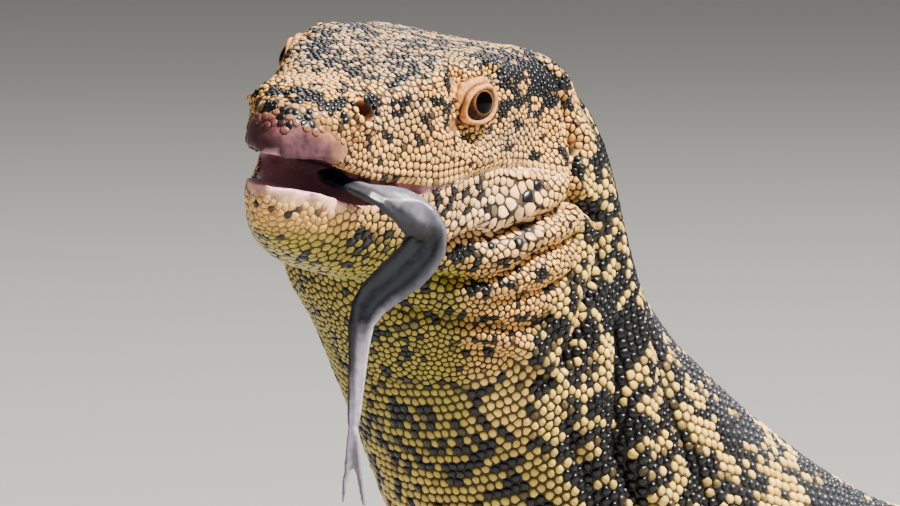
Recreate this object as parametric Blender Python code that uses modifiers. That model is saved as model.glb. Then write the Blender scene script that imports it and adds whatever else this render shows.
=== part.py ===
"""Asian water monitor (Varanus salvator), a still, life-size museum model.

The animal stands on its four feet with its tail laid on the floor, its neck raised and its
head turned to its left, and its forked tongue hanging out of the left side of the mouth.

Axes: +Z up, +X towards the tail, the animal's left towards -Y.  The origin is on the floor,
under the middle of the model's box.  Sizes below are in millimetres.
"""
import math

import bmesh
import bpy
import numpy as np
from mathutils import Matrix, Vector

MM = 0.001

# ---- driving dimensions -------------------------------------------------------------------

ORIGIN_TO_NECK_LINE = (-681.66, 0.0)  # from the model's origin to the point under the eyes

EYE_HEIGHT = 315.0       # middle of the two eyes above the floor
EYE_SIDE = -20.0         # the eyes' middle lies this far left of the body's midline
HEAD_TURN = 17.0         # degrees, the head turned to the animal's left
HEAD_ROLL = 11.0         # degrees, the left side of the head lower
CUT = 0.4                # width of the thin cuts that part the body
CLEARANCE = 0.3          # between an eye or a claw and its socket

# Head sections along the head's own axis, from the back of the skull to the snout: place ahead
# of the eyes, top, half width above and below the lips, height of the lips, bottom,
# squareness above and below
HEAD_SECTIONS = (
    (-56.0, 4.5, 26.0, 26.0, -14.0, -38.0, 4.0, 2.4),
    (-42.0, 8.4, 30.0, 30.0, -15.0, -44.0, 5.2, 2.8),
    (-22.0, 9.9, 28.0, 28.0, -14.0, -45.0, 4.8, 3.2),
    (0.0, 9.8, 24.2, 24.2, -15.0, -44.0, 4.8, 3.2),
    (16.0, 7.5, 20.5, 20.3, -16.0, -43.0, 3.8, 3.0),
    (30.0, 3.8, 16.4, 15.6, -16.0, -40.5, 3.2, 2.8),
    (41.0, 2.0, 13.8, 12.2, -16.5, -37.0, 3.0, 2.6),
    (49.0, 0.2, 10.6, 8.4, -16.5, -33.5, 2.8, 2.4),
    (54.5, -3.5, 7.2, 5.2, -16.5, -30.0, 2.4, 2.2),
    (58.0, -9.0, 3.0, 2.0, -17.0, -24.0, 2.2, 2.0),
)

# Soft swellings and hollows of the head, mirrored left and right:
# place ahead, to the side and above the eyes' middle, radius, height of the swelling
HEAD_SWELLINGS = (
    (-6.0, 20.5, 8.5, 9.0, 1.8),       # brow over the back of the eye
    (9.0, 19.0, 6.5, 8.0, 1.6),        # brow over the front of the eye
    (20.0, 14.5, 4.0, 8.0, 0.8),       # ridge from the brow to the nostril
    (0.0, 24.5, -0.5, 8.5, -3.0),      # hollow that holds the eye
    (-3.0, 24.0, -9.5, 6.5, 1.6),      # bag under the eye
    (39.0, 13.5, -1.5, 7.0, 1.8),      # nostril
    (27.0, 15.5, -5.0, 7.0, -0.8),     # hollow between the nostril and the eye
    (-28.0, 27.0, 2.0, 8.0, -0.6),     # temple
    (-36.0, 30.0, -27.0, 14.0, 2.6),   # jaw muscle
    (12.0, 21.5, -13.0, 8.0, 1.0),     # the upper lip's droop below the eye
    (-22.0, 23.0, -48.0, 9.0, 2.6),    # loose skin of the throat behind the jaw
)
# The same for the skin that bunches on the left only, where the head is turned to
BUNCHED_SKIN = (-40.0, 17.0, 9.0, 11.0, 2.0)
SWELLING_AXIS = 8.0        # swellings rise away from a line this far below the eyes

EYE_RADIUS = 6.5
EYE_CENTRE = (-1.5, 18.9, 0.0)     # ahead, to the side, above the eyes' middle

# The mouth: place ahead of the eyes, edge of the upper lip, edge of the lower lip
MOUTH_SECTIONS = (
    (66.0, -13.4, -19.0),
    (55.0, -13.2, -19.2),
    (49.0, -13.0, -19.6),
    (44.0, -14.2, -20.3),
    (34.0, -16.5, -22.6),
    (25.0, -17.5, -22.4),
    (12.0, -18.0, -19.6),
    (3.0, -17.0, -17.8),
    (-5.0, -15.0, -15.4),
    (-13.0, -13.8, -14.2),
    (-26.0, -14.6, -15.0),
    (-40.0, -16.2, -16.6),
    (-62.0, -18.6, -19.0),
)
MOUTH_HOLLOW = ((22.0, 0.0, -18.0), (29.0, 11.5, 8.0))   # middle and half sizes

# Spine of the raised neck and the trunk, from inside the head to the root of the tail:
# x behind the eyes, y to the right of the midline, height, half width, half height
SPINE_SECTIONS = (
    (22.0, -9.0, 304.0, 28.0, 29.0),
    (36.0, -6.0, 286.0, 34.0, 38.0),
    (60.0, -2.0, 251.0, 34.5, 37.0),
    (97.0, 0.0, 210.0, 40.5, 43.5),
    (160.0, 0.0, 164.0, 55.0, 52.0),
    (240.0, 0.0, 140.0, 60.0, 54.0),
    (330.0, 0.0, 122.0, 63.0, 53.0),
    (420.0, 0.0, 108.0, 55.0, 48.0),
    (480.0, 0.0, 99.0, 46.0, 43.0),
    (540.0, 2.0, 81.0, 33.0, 38.0),
)
BODY_SQUARE = (2.1, 2.2)       # squareness of the body's section above and below
COLLAR = (1.0, 1.15, 1.3)      # loose skin behind the head: its place, reach and squareness
TAIL_LENGTH = 880.0            # along the animal, from the root of the tail to its tip
TAIL_ROOT = (33.0, 38.0)       # half width, half height
TAIL_TIP = (2.2, 3.2)
TAIL_TAPER = (1.75, 1.25)      # how early the tail thins, and how early it loses height
TAIL_LAID = 0.30               # the share of the tail after which it lies on the floor
TAIL_SWAY = 34.0               # sideways swing of the tail's curves
TAIL_SWAYS = 1.7               # how many half swings it makes
TAIL_SWAY_START = 0.4          # share of the swing that is there from the root
TAIL_SPANS = 10
TAIL_STEP = 0.4                # places between the rings of the tail's surface
TAIL_POINTS = 16
KEEL = (8.5, 3.0)              # place where the tail's keel starts, and places it grows over
KEEL_SHAPE = (0.06, 0.55)      # share of height it adds, and how much sharper the top gets
FLAT = 0.8                     # how much of a sole or of the tail's underside is flattened

NECK_CUT = (-42.0, -21.0, 22.5)          # ahead of the eyes, above them, degrees it leans
SHOULDER_CUT = 2.55                      # place on the spine, counted in its sections
WAIST_CUT = 6.0
TAIL_CUTS = (9.15, 11.6, 14.0, 16.4)
ROOT_CUTS = {"front": (4.1, 42.0), "hind": (7.75, 8.0)}   # place on the spine, droop
ROOT_MARGIN = 3.0                        # how far outside the trunk's side the leg is cut
ROOT_LEAN = 0.5                          # places on the spine over which the cut's lean is taken
WRIST_CUT = 0.82                         # share of the way from the shin's middle to the wrist
# Half sizes of the square plates that make the cuts
PLATES = {"nape": 60.0, "spine": 80.0, "root": 44.0, "bend": 33.0, "wrist": 20.0}

# Legs: shoulder or hip, elbow or knee, wrist or ankle, as distances from the midline of the
# body (x behind the eyes, out to the side, height), each with the radius of the limb there
FRONT_LEG = (
    (158.0, 26.0, 150.0, 27.0),
    (171.0, 58.0, 122.0, 20.5),
    (184.0, 86.0, 92.0, 15.5),
    (176.0, 91.0, 62.0, 16.0),
    (163.0, 95.0, 24.0, 10.5),
    (155.0, 96.0, 11.0, 10.0),
)
HIND_LEG = (
    (476.0, 22.0, 92.0, 33.0),
    (456.0, 62.0, 88.0, 27.0),
    (438.0, 99.0, 78.0, 19.0),
    (463.0, 106.0, 54.0, 19.0),
    (492.0, 113.0, 22.0, 11.5),
    (488.0, 115.0, 11.0, 11.0),
)
# How far each foot is stepped back from the even stance
STEPS = {"front_left": -18.0, "front_right": 16.0, "hind_left": 20.0, "hind_right": -18.0}

# Digits from the inner to the outer: length, degrees from the foot's own direction
HAND_DIGITS = ((17.0, -58.0), (26.0, -27.0), (31.0, -2.0), (30.0, 22.0), (20.0, 55.0))
FOOT_DIGITS = ((18.0, -38.0), (30.0, -17.0), (40.0, 0.0), (50.0, 16.0), (26.0, 62.0))
HAND_TURN = 8.0                # degrees the hand points outwards
FOOT_TURN = 30.0
PALM = (13.0, 13.5, 8.0)       # half length, half width, half height
SOLE = (22.0, 14.0, 9.0)
PAD_AHEAD = 0.75               # share of the pad's half length it sits ahead of the ankle
DIGIT_ROOTS = (0.62, 0.45)     # how far ahead in the pad a digit starts; the spread ones
SPREAD = 50.0                  # degrees from which a digit counts as spread
DIGIT_ROW = (0.78, 1.15)       # width of the row of roots in the pad, and its widening
DIGIT_RADIUS = 4.6
# Along a digit: share of its length, lift of its middle, size
DIGIT_ARCH = ((0.0, 2.2, 1.08), (0.3, 2.6, 1.0), (0.6, 1.2, 0.94), (0.85, 0.0, 0.9),
              (1.0, 0.2, 0.72))
DIGIT_INSIDE = 0.3             # how much of the pad's half length is added to a digit
DIGIT_SLIM = 0.95              # width of a digit as a share of its height
CLAW_LENGTH = 10.0
CLAW_RADIUS = 2.3
CLAW_HOOK = 2.9                # how far the claw's point bends down
CLAW_ROOT = 2.5                # how deep the claw sits in the digit
CLAW_RISE = 0.6                # how far its root sits above the digit's middle
CLAW_SLIM = 0.62               # its width as a share of its height
CLAW_TAPER = (0.86, 0.80)      # share of height and of width it loses by its point

# The tongue: ahead of, to the left of and above the eyes' middle, half width, half thickness
TONGUE_ROUTE = (
    (22.0, 0.5, -19.4, 3.6, 1.5),
    (31.5, 6.5, -19.0, 4.1, 1.6),
    (37.6, 14.3, -18.6, 4.4, 1.5),
    (36.6, 20.6, -19.3, 4.7, 1.8),
    (33.4, 25.6, -21.6, 4.8, 2.0),
    (31.6, 29.1, -24.9, 4.8, 2.0),
    (31.8, 30.1, -29.0, 5.0, 2.0),
    (34.1, 27.0, -35.2, 5.2, 1.9),
    (37.1, 22.2, -41.8, 4.4, 1.7),
    (38.7, 20.9, -48.1, 3.1, 1.5),
    (39.5, 22.0, -55.8, 2.4, 1.3),
    (40.4, 23.4, -64.6, 1.9, 1.1),
    (41.0, 24.3, -70.4, 1.7, 1.0),
)
TONGUE_TIPS = (
    ((41.4, 24.6, -74.2), (42.2, 25.2, -81.2), (43.2, 26.0, -88.5)),
    ((41.0, 25.9, -74.0), (41.0, 27.9, -80.8), (41.1, 30.6, -87.6)),
)

TONGUE_FACING = (0.92, 0.39)   # the hanging tongue's broad side faces forwards and left
TONGUE_TURNS = (2.0, 5.0)      # rows of the route between which it turns that way
PRONG_TURNS = (-1.0, 0.0)      # the prongs face that way all along
PRONG_ROOT = ((1.4, 0.9), (1.2, 0.8))     # half width and half thickness where a prong starts
PRONG_TAPER = ((1.1, 0.2), (0.75, 0.1))   # the same along the prong, and the loss per point

# Fineness of each group, and the triangles it keeps
VOXEL = {"front": 2.0, "body": 3.5, "foot": 1.5, "tongue": 0.5}
TRIANGLES = {"front": 2050, "body": 1250, "foot": 230, "tongue": 340}

COLOURS = {
    "hide": ((0.16, 0.13, 0.06, 1.0), 0.55),
    "eye": ((0.02, 0.012, 0.008, 1.0), 0.08),
    "claw": ((0.05, 0.04, 0.03, 1.0), 0.35),
    "tongue": ((0.13, 0.14, 0.20, 1.0), 0.30),
}


# ---- frames -------------------------------------------------------------------------------

def world(x, y, z):
    """A point given from under the eyes, in the model's own frame."""
    return Vector((x + ORIGIN_TO_NECK_LINE[0], y + ORIGIN_TO_NECK_LINE[1], z))


def head_axes():
    """The head's forward, left and up directions."""
    turn = math.radians(HEAD_TURN)
    roll = math.radians(HEAD_ROLL)
    forward = Vector((-math.cos(turn), -math.sin(turn), 0.0))
    level_left = Vector((math.sin(turn), -math.cos(turn), 0.0))
    up = Vector((0.0, 0.0, 1.0))
    left = level_left * math.cos(roll) - up * math.sin(roll)
    above = up * math.cos(roll) + level_left * math.sin(roll)
    return forward, left, above


def in_head(ahead, side, height):
    """A point given ahead of, left of and above the eyes' middle."""
    forward, left, above = head_axes()
    return world(0.0, EYE_SIDE, EYE_HEIGHT) + forward * ahead + left * side + above * height


def smooth_row(rows, place):
    """The row of numbers at a fractional place in a table, on a smooth curve through it."""
    rows = np.asarray(rows, dtype=float)
    place = min(max(place, 0.0), len(rows) - 1.0)
    first = min(int(place), len(rows) - 2)
    t = place - first
    before = rows[max(first - 1, 0)]
    start = rows[first]
    end = rows[first + 1]
    after = rows[min(first + 2, len(rows) - 1)]
    return 0.5 * (2 * start + (end - before) * t
                  + (2 * before - 5 * start + 4 * end - after) * t * t
                  + (3 * start - before - 3 * end + after) * t ** 3)


def oval(middle, side, up, half_width, top, bottom, square_top=2.0, square_bottom=2.0,
         count=32, lower_width=None):
    """A ring of points: a rounded box with its own size and squareness above and below."""
    ring = []
    for i in range(count):
        angle = 2 * math.pi * i / count
        across = math.sin(angle)
        along = math.cos(angle)
        power = 2.0 / (square_top if along > 0 else square_bottom)
        height = top if along > 0 else bottom
        width = lower_width if lower_width and along < 0 else half_width
        x = math.copysign(abs(across) ** power, across) * width
        z = math.copysign(abs(along) ** power, along) * height
        ring.append(middle + side * x + up * z)
    return ring


# ---- making and joining meshes ------------------------------------------------------------

def collection(name):
    found = bpy.data.collections.get(name)
    if found is None:
        found = bpy.data.collections.new(name)
        bpy.context.scene.collection.children.link(found)
    return found


def add_object(name, mesh, group):
    piece = bpy.data.objects.new(name, mesh)
    collection(group).objects.link(piece)
    return piece


def loft(name, rings, group="workshop"):
    """A closed surface through rings of equal counts, with a flat face at each end."""
    mesh = bpy.data.meshes.new(name)
    shape = bmesh.new()
    loops = []
    for ring in rings:
        loops.append([shape.verts.new(point * MM) for point in ring])
    count = len(loops[0])
    for first, second in zip(loops, loops[1:]):
        for i in range(count):
            j = (i + 1) % count
            shape.faces.new((first[i], first[j], second[j], second[i]))
    shape.faces.new(list(reversed(loops[0])))
    shape.faces.new(loops[-1])
    bmesh.ops.recalc_face_normals(shape, faces=shape.faces)
    shape.to_mesh(mesh)
    shape.free()
    return add_object(name, mesh, group)


def tube(name, stops, count=16, group="workshop"):
    """A limb through stops of (point, half width, half height)."""
    rings = []
    for i, (point, wide, tall) in enumerate(stops):
        behind = stops[max(i - 1, 0)][0]
        ahead = stops[min(i + 1, len(stops) - 1)][0]
        along = (ahead - behind).normalized()
        up = Vector((0.0, 0.0, 1.0))
        if abs(along.dot(up)) > 0.93:
            up = Vector((-1.0, 0.0, 0.0))
        side = along.cross(up).normalized()
        up = side.cross(along).normalized()
        rings.append(oval(point, side, up, wide, tall, tall, count=count))
    return loft(name, rings, group)


def ball(name, middle, half_sizes, axes, segments=24, group="workshop"):
    """A ball or an egg, its half sizes along three given directions."""
    mesh = bpy.data.meshes.new(name)
    shape = bmesh.new()
    bmesh.ops.create_uvsphere(shape, u_segments=segments, v_segments=segments * 5 // 8,
                              radius=1.0)
    turn = Matrix([[axis[i] * size * MM for axis, size in zip(axes, half_sizes)]
                   for i in range(3)]).to_4x4()
    bmesh.ops.transform(shape, matrix=Matrix.Translation(middle * MM) @ turn,
                        verts=shape.verts)
    bmesh.ops.recalc_face_normals(shape, faces=shape.faces)
    shape.to_mesh(mesh)
    shape.free()
    return add_object(name, mesh, group)


def slab(name, middle, normal, half_size, thickness=CUT):
    """A thin square plate that parts a body across a given direction."""
    mesh = bpy.data.meshes.new(name)
    shape = bmesh.new()
    bmesh.ops.create_cube(shape, size=1.0)
    size = Matrix.Diagonal((2 * half_size * MM, 2 * half_size * MM, thickness * MM, 1.0))
    turn = normal.to_track_quat("Z", "Y").to_matrix().to_4x4()
    bmesh.ops.transform(shape, matrix=Matrix.Translation(middle * MM) @ turn @ size,
                        verts=shape.verts)
    shape.to_mesh(mesh)
    shape.free()
    return as_cutter(add_object(name, mesh, "cutters"))


def as_cutter(piece):
    piece.hide_render = True
    piece.display_type = "WIRE"
    return piece


def settle(piece):
    """Turns a piece's modifiers into plain mesh."""
    shown = piece.evaluated_get(bpy.context.evaluated_depsgraph_get())
    mesh = bpy.data.meshes.new_from_object(shown)
    old = piece.data
    piece.modifiers.clear()
    piece.data = mesh
    bpy.data.meshes.remove(old)
    return piece


def remove(piece):
    mesh = piece.data
    bpy.data.objects.remove(piece)
    bpy.data.meshes.remove(mesh)


def cut_away(piece, cutter, solver="EXACT"):
    """Cuts one closed body out of another."""
    boolean = piece.modifiers.new("cut", "BOOLEAN")
    boolean.operation = "DIFFERENCE"
    boolean.solver = solver
    boolean.object = cutter
    return settle(piece)


def grow_together(name, pieces, voxel, triangles, swellings=()):
    """One smooth body out of overlapping closed ones."""
    whole = bmesh.new()
    for piece in pieces:
        whole.from_mesh(piece.data)
        remove(piece)
    mesh = bpy.data.meshes.new(name)
    whole.to_mesh(mesh)
    whole.free()
    body = add_object(name, mesh, "workshop")
    remesh = body.modifiers.new("one skin", "REMESH")
    remesh.mode = "VOXEL"
    remesh.voxel_size = voxel * MM
    smooth = body.modifiers.new("soften", "SMOOTH")
    smooth.factor = 0.5
    smooth.iterations = 4
    settle(body)
    for middle, direction, radius, height in swellings:
        swell(body, middle, direction, radius, height)
    thin = body.modifiers.new("thin out", "DECIMATE")
    thin.ratio = triangles / (2.0 * len(body.data.polygons))
    return settle(body)


def swell(piece, middle, direction, radius, height):
    """Raises a soft mound on a surface, or sinks a hollow where the height is negative."""
    for vertex in piece.data.vertices:
        distance = (vertex.co / MM - middle).length / radius
        if distance < 2.5:
            vertex.co += direction * (height * MM * math.exp(-distance * distance))


def loose_parts(piece):
    """Every separate shell of a mesh, as lists of its faces' point numbers."""
    mesh = piece.data
    owner = list(range(len(mesh.vertices)))

    def root(i):
        while owner[i] != i:
            owner[i] = owner[owner[i]]
            i = owner[i]
        return i

    for edge in mesh.edges:
        a, b = root(edge.vertices[0]), root(edge.vertices[1])
        if a != b:
            owner[b] = a
    shells = {}
    for face in mesh.polygons:
        shells.setdefault(root(face.vertices[0]), []).append(tuple(face.vertices))
    return list(shells.values())


def part(piece, markers, slot):
    """Keeps the shell nearest each marker as a node of that name, and drops the rest."""
    mesh = piece.data
    shells = loose_parts(piece)
    middles = []
    for faces in shells:
        used = {i for face in faces for i in face}
        middles.append(sum((mesh.vertices[i].co for i in used), Vector()) / len(used))
    for name, marker in markers.items():
        best = min(range(len(shells)), key=lambda k: (middles[k] - marker * MM).length)
        shape = bmesh.new()
        made = {}
        for face in shells[best]:
            for i in face:
                if i not in made:
                    made[i] = shape.verts.new(mesh.vertices[i].co)
            shape.faces.new([made[i] for i in face])
        bmesh.ops.dissolve_degenerate(shape, dist=0.00001, edges=shape.edges)
        bmesh.ops.recalc_face_normals(shape, faces=shape.faces)
        result = bpy.data.meshes.new(name)
        shape.to_mesh(result)
        shape.free()
        finish(add_object(name, result, "water_monitor"), slot)
    remove(piece)


def finish(piece, slot):
    """Smooth shading and the piece's own material."""
    colour, roughness = COLOURS[slot]
    material = bpy.data.materials.new(piece.name)
    material.use_nodes = True
    shader = material.node_tree.nodes["Principled BSDF"]
    shader.inputs["Base Color"].default_value = colour
    shader.inputs["Roughness"].default_value = roughness
    piece.data.materials.clear()
    piece.data.materials.append(material)
    piece.data.shade_smooth()
    piece.data.set_sharp_from_angle(angle=math.radians(50.0))
    return piece


# ---- the body's line ----------------------------------------------------------------------

def tail_sections():
    """The tail's own sections: it sinks to the floor, thins, and swings from side to side."""
    rows = []
    x0, y0, z0 = SPINE_SECTIONS[-1][:3]
    for i in range(1, TAIL_SPANS + 1):
        share = i / TAIL_SPANS
        wide = TAIL_TIP[0] + (TAIL_ROOT[0] - TAIL_TIP[0]) * (1 - share) ** TAIL_TAPER[0]
        tall = TAIL_TIP[1] + (TAIL_ROOT[1] - TAIL_TIP[1]) * (1 - share) ** TAIL_TAPER[1]
        laid = tall - FLAT
        fall = max(0.0, 1.0 - share / TAIL_LAID) ** 2
        swing = math.sin(share * TAIL_SWAYS * math.pi) * (TAIL_SWAY_START + share)
        y = y0 + TAIL_SWAY * swing
        rows.append((x0 + TAIL_LENGTH * share, y, laid + (z0 - TAIL_ROOT[1]) * fall,
                     wide, tall))
    return tuple(rows)


SPINE = SPINE_SECTIONS + tail_sections()


def spine_at(place):
    """Middle, direction, side, up, half width and half height of the body at one place."""
    row = smooth_row(SPINE, place)
    before = smooth_row(SPINE, place - 0.05)
    after = smooth_row(SPINE, place + 0.05)
    along = Vector(after[:3] - before[:3]).normalized()
    side = along.cross(Vector((0.0, 0.0, 1.0))).normalized()
    up = side.cross(along).normalized()
    return world(*row[:3]), along, side, up, row[3], row[4]


def spine_loft(name, start, end, step, points=32):
    """The trunk, neck or tail between two places on the spine; the tail has a keel above."""
    rings = []
    count = int(round((end - start) / step))
    for i in range(count + 1):
        place = start + (end - start) * i / count
        middle, along, side, up, wide, tall = spine_at(place)
        keel = min(max((place - KEEL[0]) / KEEL[1], 0.0), 1.0)
        collar = max(0.0, 1.0 - ((place - COLLAR[0]) / COLLAR[1]) ** 2)
        top = tall * (1.0 + KEEL_SHAPE[0] * keel)
        square_top = BODY_SQUARE[0] - KEEL_SHAPE[1] * keel + COLLAR[2] * collar
        rings.append(oval(middle, side, up, wide, top, tall, square_top, BODY_SQUARE[1],
                          count=points))
    return loft(name, rings)


# ---- head, jaw and neck -------------------------------------------------------------------

def head_loft():
    rings = []
    left, above = head_axes()[1:]
    steps = 5 * (len(HEAD_SECTIONS) - 1)
    for i in range(steps + 1):
        ahead, top, upper, lower, lip, bottom, square_top, square_bottom = smooth_row(
            HEAD_SECTIONS, i / 5.0)
        middle = in_head(ahead, 0.0, lip)
        rings.append(oval(middle, left, above, upper, top - lip, lip - bottom,
                          square_top, square_bottom, count=56, lower_width=lower))
    return loft("head_form", rings)


def head_swellings():
    left, above = head_axes()[1:]
    mounds = []
    both = [(row, hand) for row in HEAD_SWELLINGS for hand in (1.0, -1.0)]
    for (ahead, side, height, radius, rise), hand in both + [(BUNCHED_SKIN, 1.0)]:
        outwards = (left * (hand * side) + above * (height + SWELLING_AXIS)).normalized()
        mounds.append((in_head(ahead, hand * side, height), outwards, radius, rise))
    return mounds


def mouth_cutter():
    """A wedge between the lips that narrows to a thin cut towards the corner of the mouth."""
    rings = []
    steps = 3 * (len(MOUTH_SECTIONS) - 1)
    for i in range(steps + 1):
        ahead, upper, lower = smooth_row(MOUTH_SECTIONS, i / 3.0)
        lower = min(lower, upper - CUT)
        corners = ((-45.0, lower), (45.0, lower), (45.0, upper), (-45.0, upper))
        rings.append([in_head(ahead, side, height) for side, height in corners])
    return as_cutter(loft("mouth_cutter", rings, "cutters"))


def make_head_and_neck():
    forward, left, above = head_axes()
    whole = grow_together("front", [head_loft(), spine_loft("neck_form", 0.0, 3.2, 0.1)],
                          VOXEL["front"], TRIANGLES["front"], head_swellings())
    ahead, height, lean = NECK_CUT
    lean = math.radians(lean)
    normal = forward * math.cos(lean) + above * math.sin(lean)
    cut_away(whole, slab("nape_cutter", in_head(ahead, 0.0, height), normal,
                         PLATES["nape"]))
    cut_away(whole, spine_slab("neck", SHOULDER_CUT))
    hollow = ball("mouth_hollow", in_head(*MOUTH_HOLLOW[0]), MOUTH_HOLLOW[1],
                  (forward, left, above), 16, "cutters")
    cut_away(whole, as_cutter(hollow))
    for name, hand in (("left", 1.0), ("right", -1.0)):
        ahead, side, height = EYE_CENTRE
        middle = in_head(ahead, hand * side, height)
        radius = EYE_RADIUS + CLEARANCE
        socket = ball("socket_" + name, middle, (radius,) * 3, (left, forward, above), 14,
                      "cutters")
        cut_away(whole, as_cutter(socket))
        eye = ball("eye_" + name, middle, (EYE_RADIUS,) * 3, (left, forward, above), 14,
                   "water_monitor")
        finish(eye, "eye")
    neck = in_head(-60.0, 0.0, -50.0)
    skull = in_head(0.0, 0.0, -10.0)
    split_mouth(whole, skull, neck)


def split_mouth(whole, skull, neck):
    """Parts the head from the lower jaw along the lips, and both from the neck."""
    part(whole, {"neck": neck, "skull": skull}, "hide")
    skull_piece = bpy.data.objects["skull"]
    cut_away(skull_piece, mouth_cutter())
    part(skull_piece, {"head": in_head(0.0, 0.0, -4.0),
                       "lower_jaw": in_head(5.0, 0.0, -34.0)}, "hide")


def make_tongue():
    """The tongue lies flat over the lip, then turns its broad side outwards as it hangs."""
    forward, left, above = head_axes()
    hanging = forward * TONGUE_FACING[0] + left * TONGUE_FACING[1]

    def ribbon(rows, name, turns):
        rings = []
        steps = 2 * (len(rows) - 1)
        for i in range(steps + 1):
            row = smooth_row(rows, i / 2.0)
            before = smooth_row(rows, i / 2.0 - 0.1)
            after = smooth_row(rows, i / 2.0 + 0.1)
            along = (in_head(*after[:3]) - in_head(*before[:3])).normalized()
            turned = min(max((i / 2.0 - turns[0]) / (turns[1] - turns[0]), 0.0), 1.0)
            broad_side = above.lerp(hanging, turned)
            side = along.cross(broad_side).normalized()
            up = side.cross(along).normalized()
            rings.append(oval(in_head(*row[:3]), side, up, row[3], row[4], row[4], count=12))
        return loft(name, rings)

    pieces = [ribbon(TONGUE_ROUTE, "tongue_form", TONGUE_TURNS)]
    root = TONGUE_ROUTE[-2]
    for tip in TONGUE_TIPS:
        rows = [root[:3] + PRONG_ROOT[0], TONGUE_ROUTE[-1][:3] + PRONG_ROOT[1]]
        for number, point in enumerate(tip):
            rows.append(point + tuple(size - loss * number for size, loss in PRONG_TAPER))
        pieces.append(ribbon(rows, "prong_form", PRONG_TURNS))
    tongue = grow_together("tongue_form", pieces, VOXEL["tongue"], TRIANGLES["tongue"])
    part(tongue, {"tongue": in_head(38.0, 22.0, -50.0)}, "tongue")


# ---- trunk, tail and legs -----------------------------------------------------------------

def leg_points(rows, hand, step):
    """A leg's stops, the foot stepped forwards or back and the hip staying in place."""
    stops = []
    for i, (x, out, z, radius) in enumerate(rows):
        share = min(i / 4.0, 1.0)
        stops.append((world(x + step * share, hand * out, z), radius))
    return stops


def leg_tube(name, stops, start=0):
    rows = [(point.x, point.y, point.z, radius) for point, radius in stops]
    steps = 4 * (len(rows) - 1 - start)
    smooth = []
    for i in range(steps + 1):
        x, y, z, radius = smooth_row(rows, start + i / 4.0)
        smooth.append((Vector((x, y, z)), radius, radius))
    return tube(name, smooth, count=20)


def sides():
    return (("left", -1.0), ("right", 1.0))


def make_body():
    pieces = [spine_loft("body_form", 2.1, TAIL_CUTS[0] + 0.5, 0.125)]
    cuts = []
    markers = {}
    for end, rows in (("front", FRONT_LEG), ("hind", HIND_LEG)):
        names = ("upper_arm", "forearm") if end == "front" else ("thigh", "shank")
        for side, hand in sides():
            stops = leg_points(rows, hand, STEPS[end + "_" + side])
            pieces.append(leg_tube("leg_form", stops))
            points = [point for point, radius in stops]
            knee = points[2]
            bend = ((points[2] - points[1]).normalized()
                    + (points[3] - points[2]).normalized()).normalized()
            label = end + "_" + side
            cuts.append(root_slab(label, points, hand, ROOT_CUTS[end]))
            cuts.append(slab("bend_cutter_" + label, knee, bend,
                             PLATES["bend"]))
            cuts.append(wrist_slab(label, stops))
            markers[names[0] + "_" + side] = points[1].lerp(points[2], 0.4)
            markers[names[1] + "_" + side] = points[3]
    whole = grow_together("body", pieces, VOXEL["body"], TRIANGLES["body"])
    cuts.append(spine_slab("chest", SHOULDER_CUT))
    cuts.append(spine_slab("waist", WAIST_CUT))
    cuts.append(spine_slab("rump", TAIL_CUTS[0]))
    for cutter in cuts:
        cut_away(whole, cutter, "MANIFOLD")    # EXACT loses one of the shanks here
    markers["chest"] = spine_at((SHOULDER_CUT + WAIST_CUT) / 2.0)[0]
    markers["loins"] = spine_at((WAIST_CUT + TAIL_CUTS[0]) / 2.0)[0]
    part(whole, markers, "hide")


def make_tail():
    end = len(SPINE) - 1.0
    tail = spine_loft("tail_form", TAIL_CUTS[0] - 0.4, end, TAIL_STEP, TAIL_POINTS)
    markers = {}
    stops = TAIL_CUTS + (end,)
    for number, (start, stop) in enumerate(zip(stops, stops[1:])):
        cut_away(tail, spine_slab("tail_%d" % (number + 1), start))
        markers["tail_%d" % (number + 1)] = spine_at((start + stop) / 2.0)[0]
    cut_away(tail, floor_cutter())
    part(tail, markers, "hide")


def root_slab(label, points, hand, root):
    """A thin cut that lies along the side of the trunk, where a leg grows out of it."""
    place, droop = root
    droop = math.radians(droop)

    def reach(wide, tall):
        return math.hypot(wide * math.cos(droop), tall * math.sin(droop))

    middle, along, side, up, wide, tall = spine_at(place)
    out = side * (-hand * math.cos(droop)) - up * math.sin(droop)
    before = spine_at(place - ROOT_LEAN)
    after = spine_at(place + ROOT_LEAN)
    slope = (reach(*after[4:]) - reach(*before[4:])) / (after[0] - before[0]).length
    normal = (out - along * slope).normalized()
    touch = middle + out * (reach(wide, tall) + ROOT_MARGIN)
    line = points[1] - points[0]
    share = (touch - points[0]).dot(normal) / line.dot(normal)
    return slab("root_cutter_" + label, points[0] + line * share, normal,
                PLATES["root"])


def spine_slab(label, place):
    middle, along = spine_at(place)[:2]
    return slab("spine_cutter_" + label, middle, along, PLATES["spine"])


def wrist_slab(label, stops):
    (start, radius), (end, end_radius) = stops[3], stops[4]
    middle = start.lerp(end, WRIST_CUT)
    return slab("wrist_cutter_" + label, middle, end - start, PLATES["wrist"])


def floor_cutter():
    """Everything below the floor, so that what touches it is flat."""
    found = bpy.data.objects.get("floor_cutter")
    if found is None:
        depth = 100.0
        middle = Vector((0.0, 0.0, -depth / 2.0))
        found = slab("floor_cutter", middle, Vector((0.0, 0.0, 1.0)), 1100.0, depth)
    return found


# ---- hands, feet and claws ----------------------------------------------------------------

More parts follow.
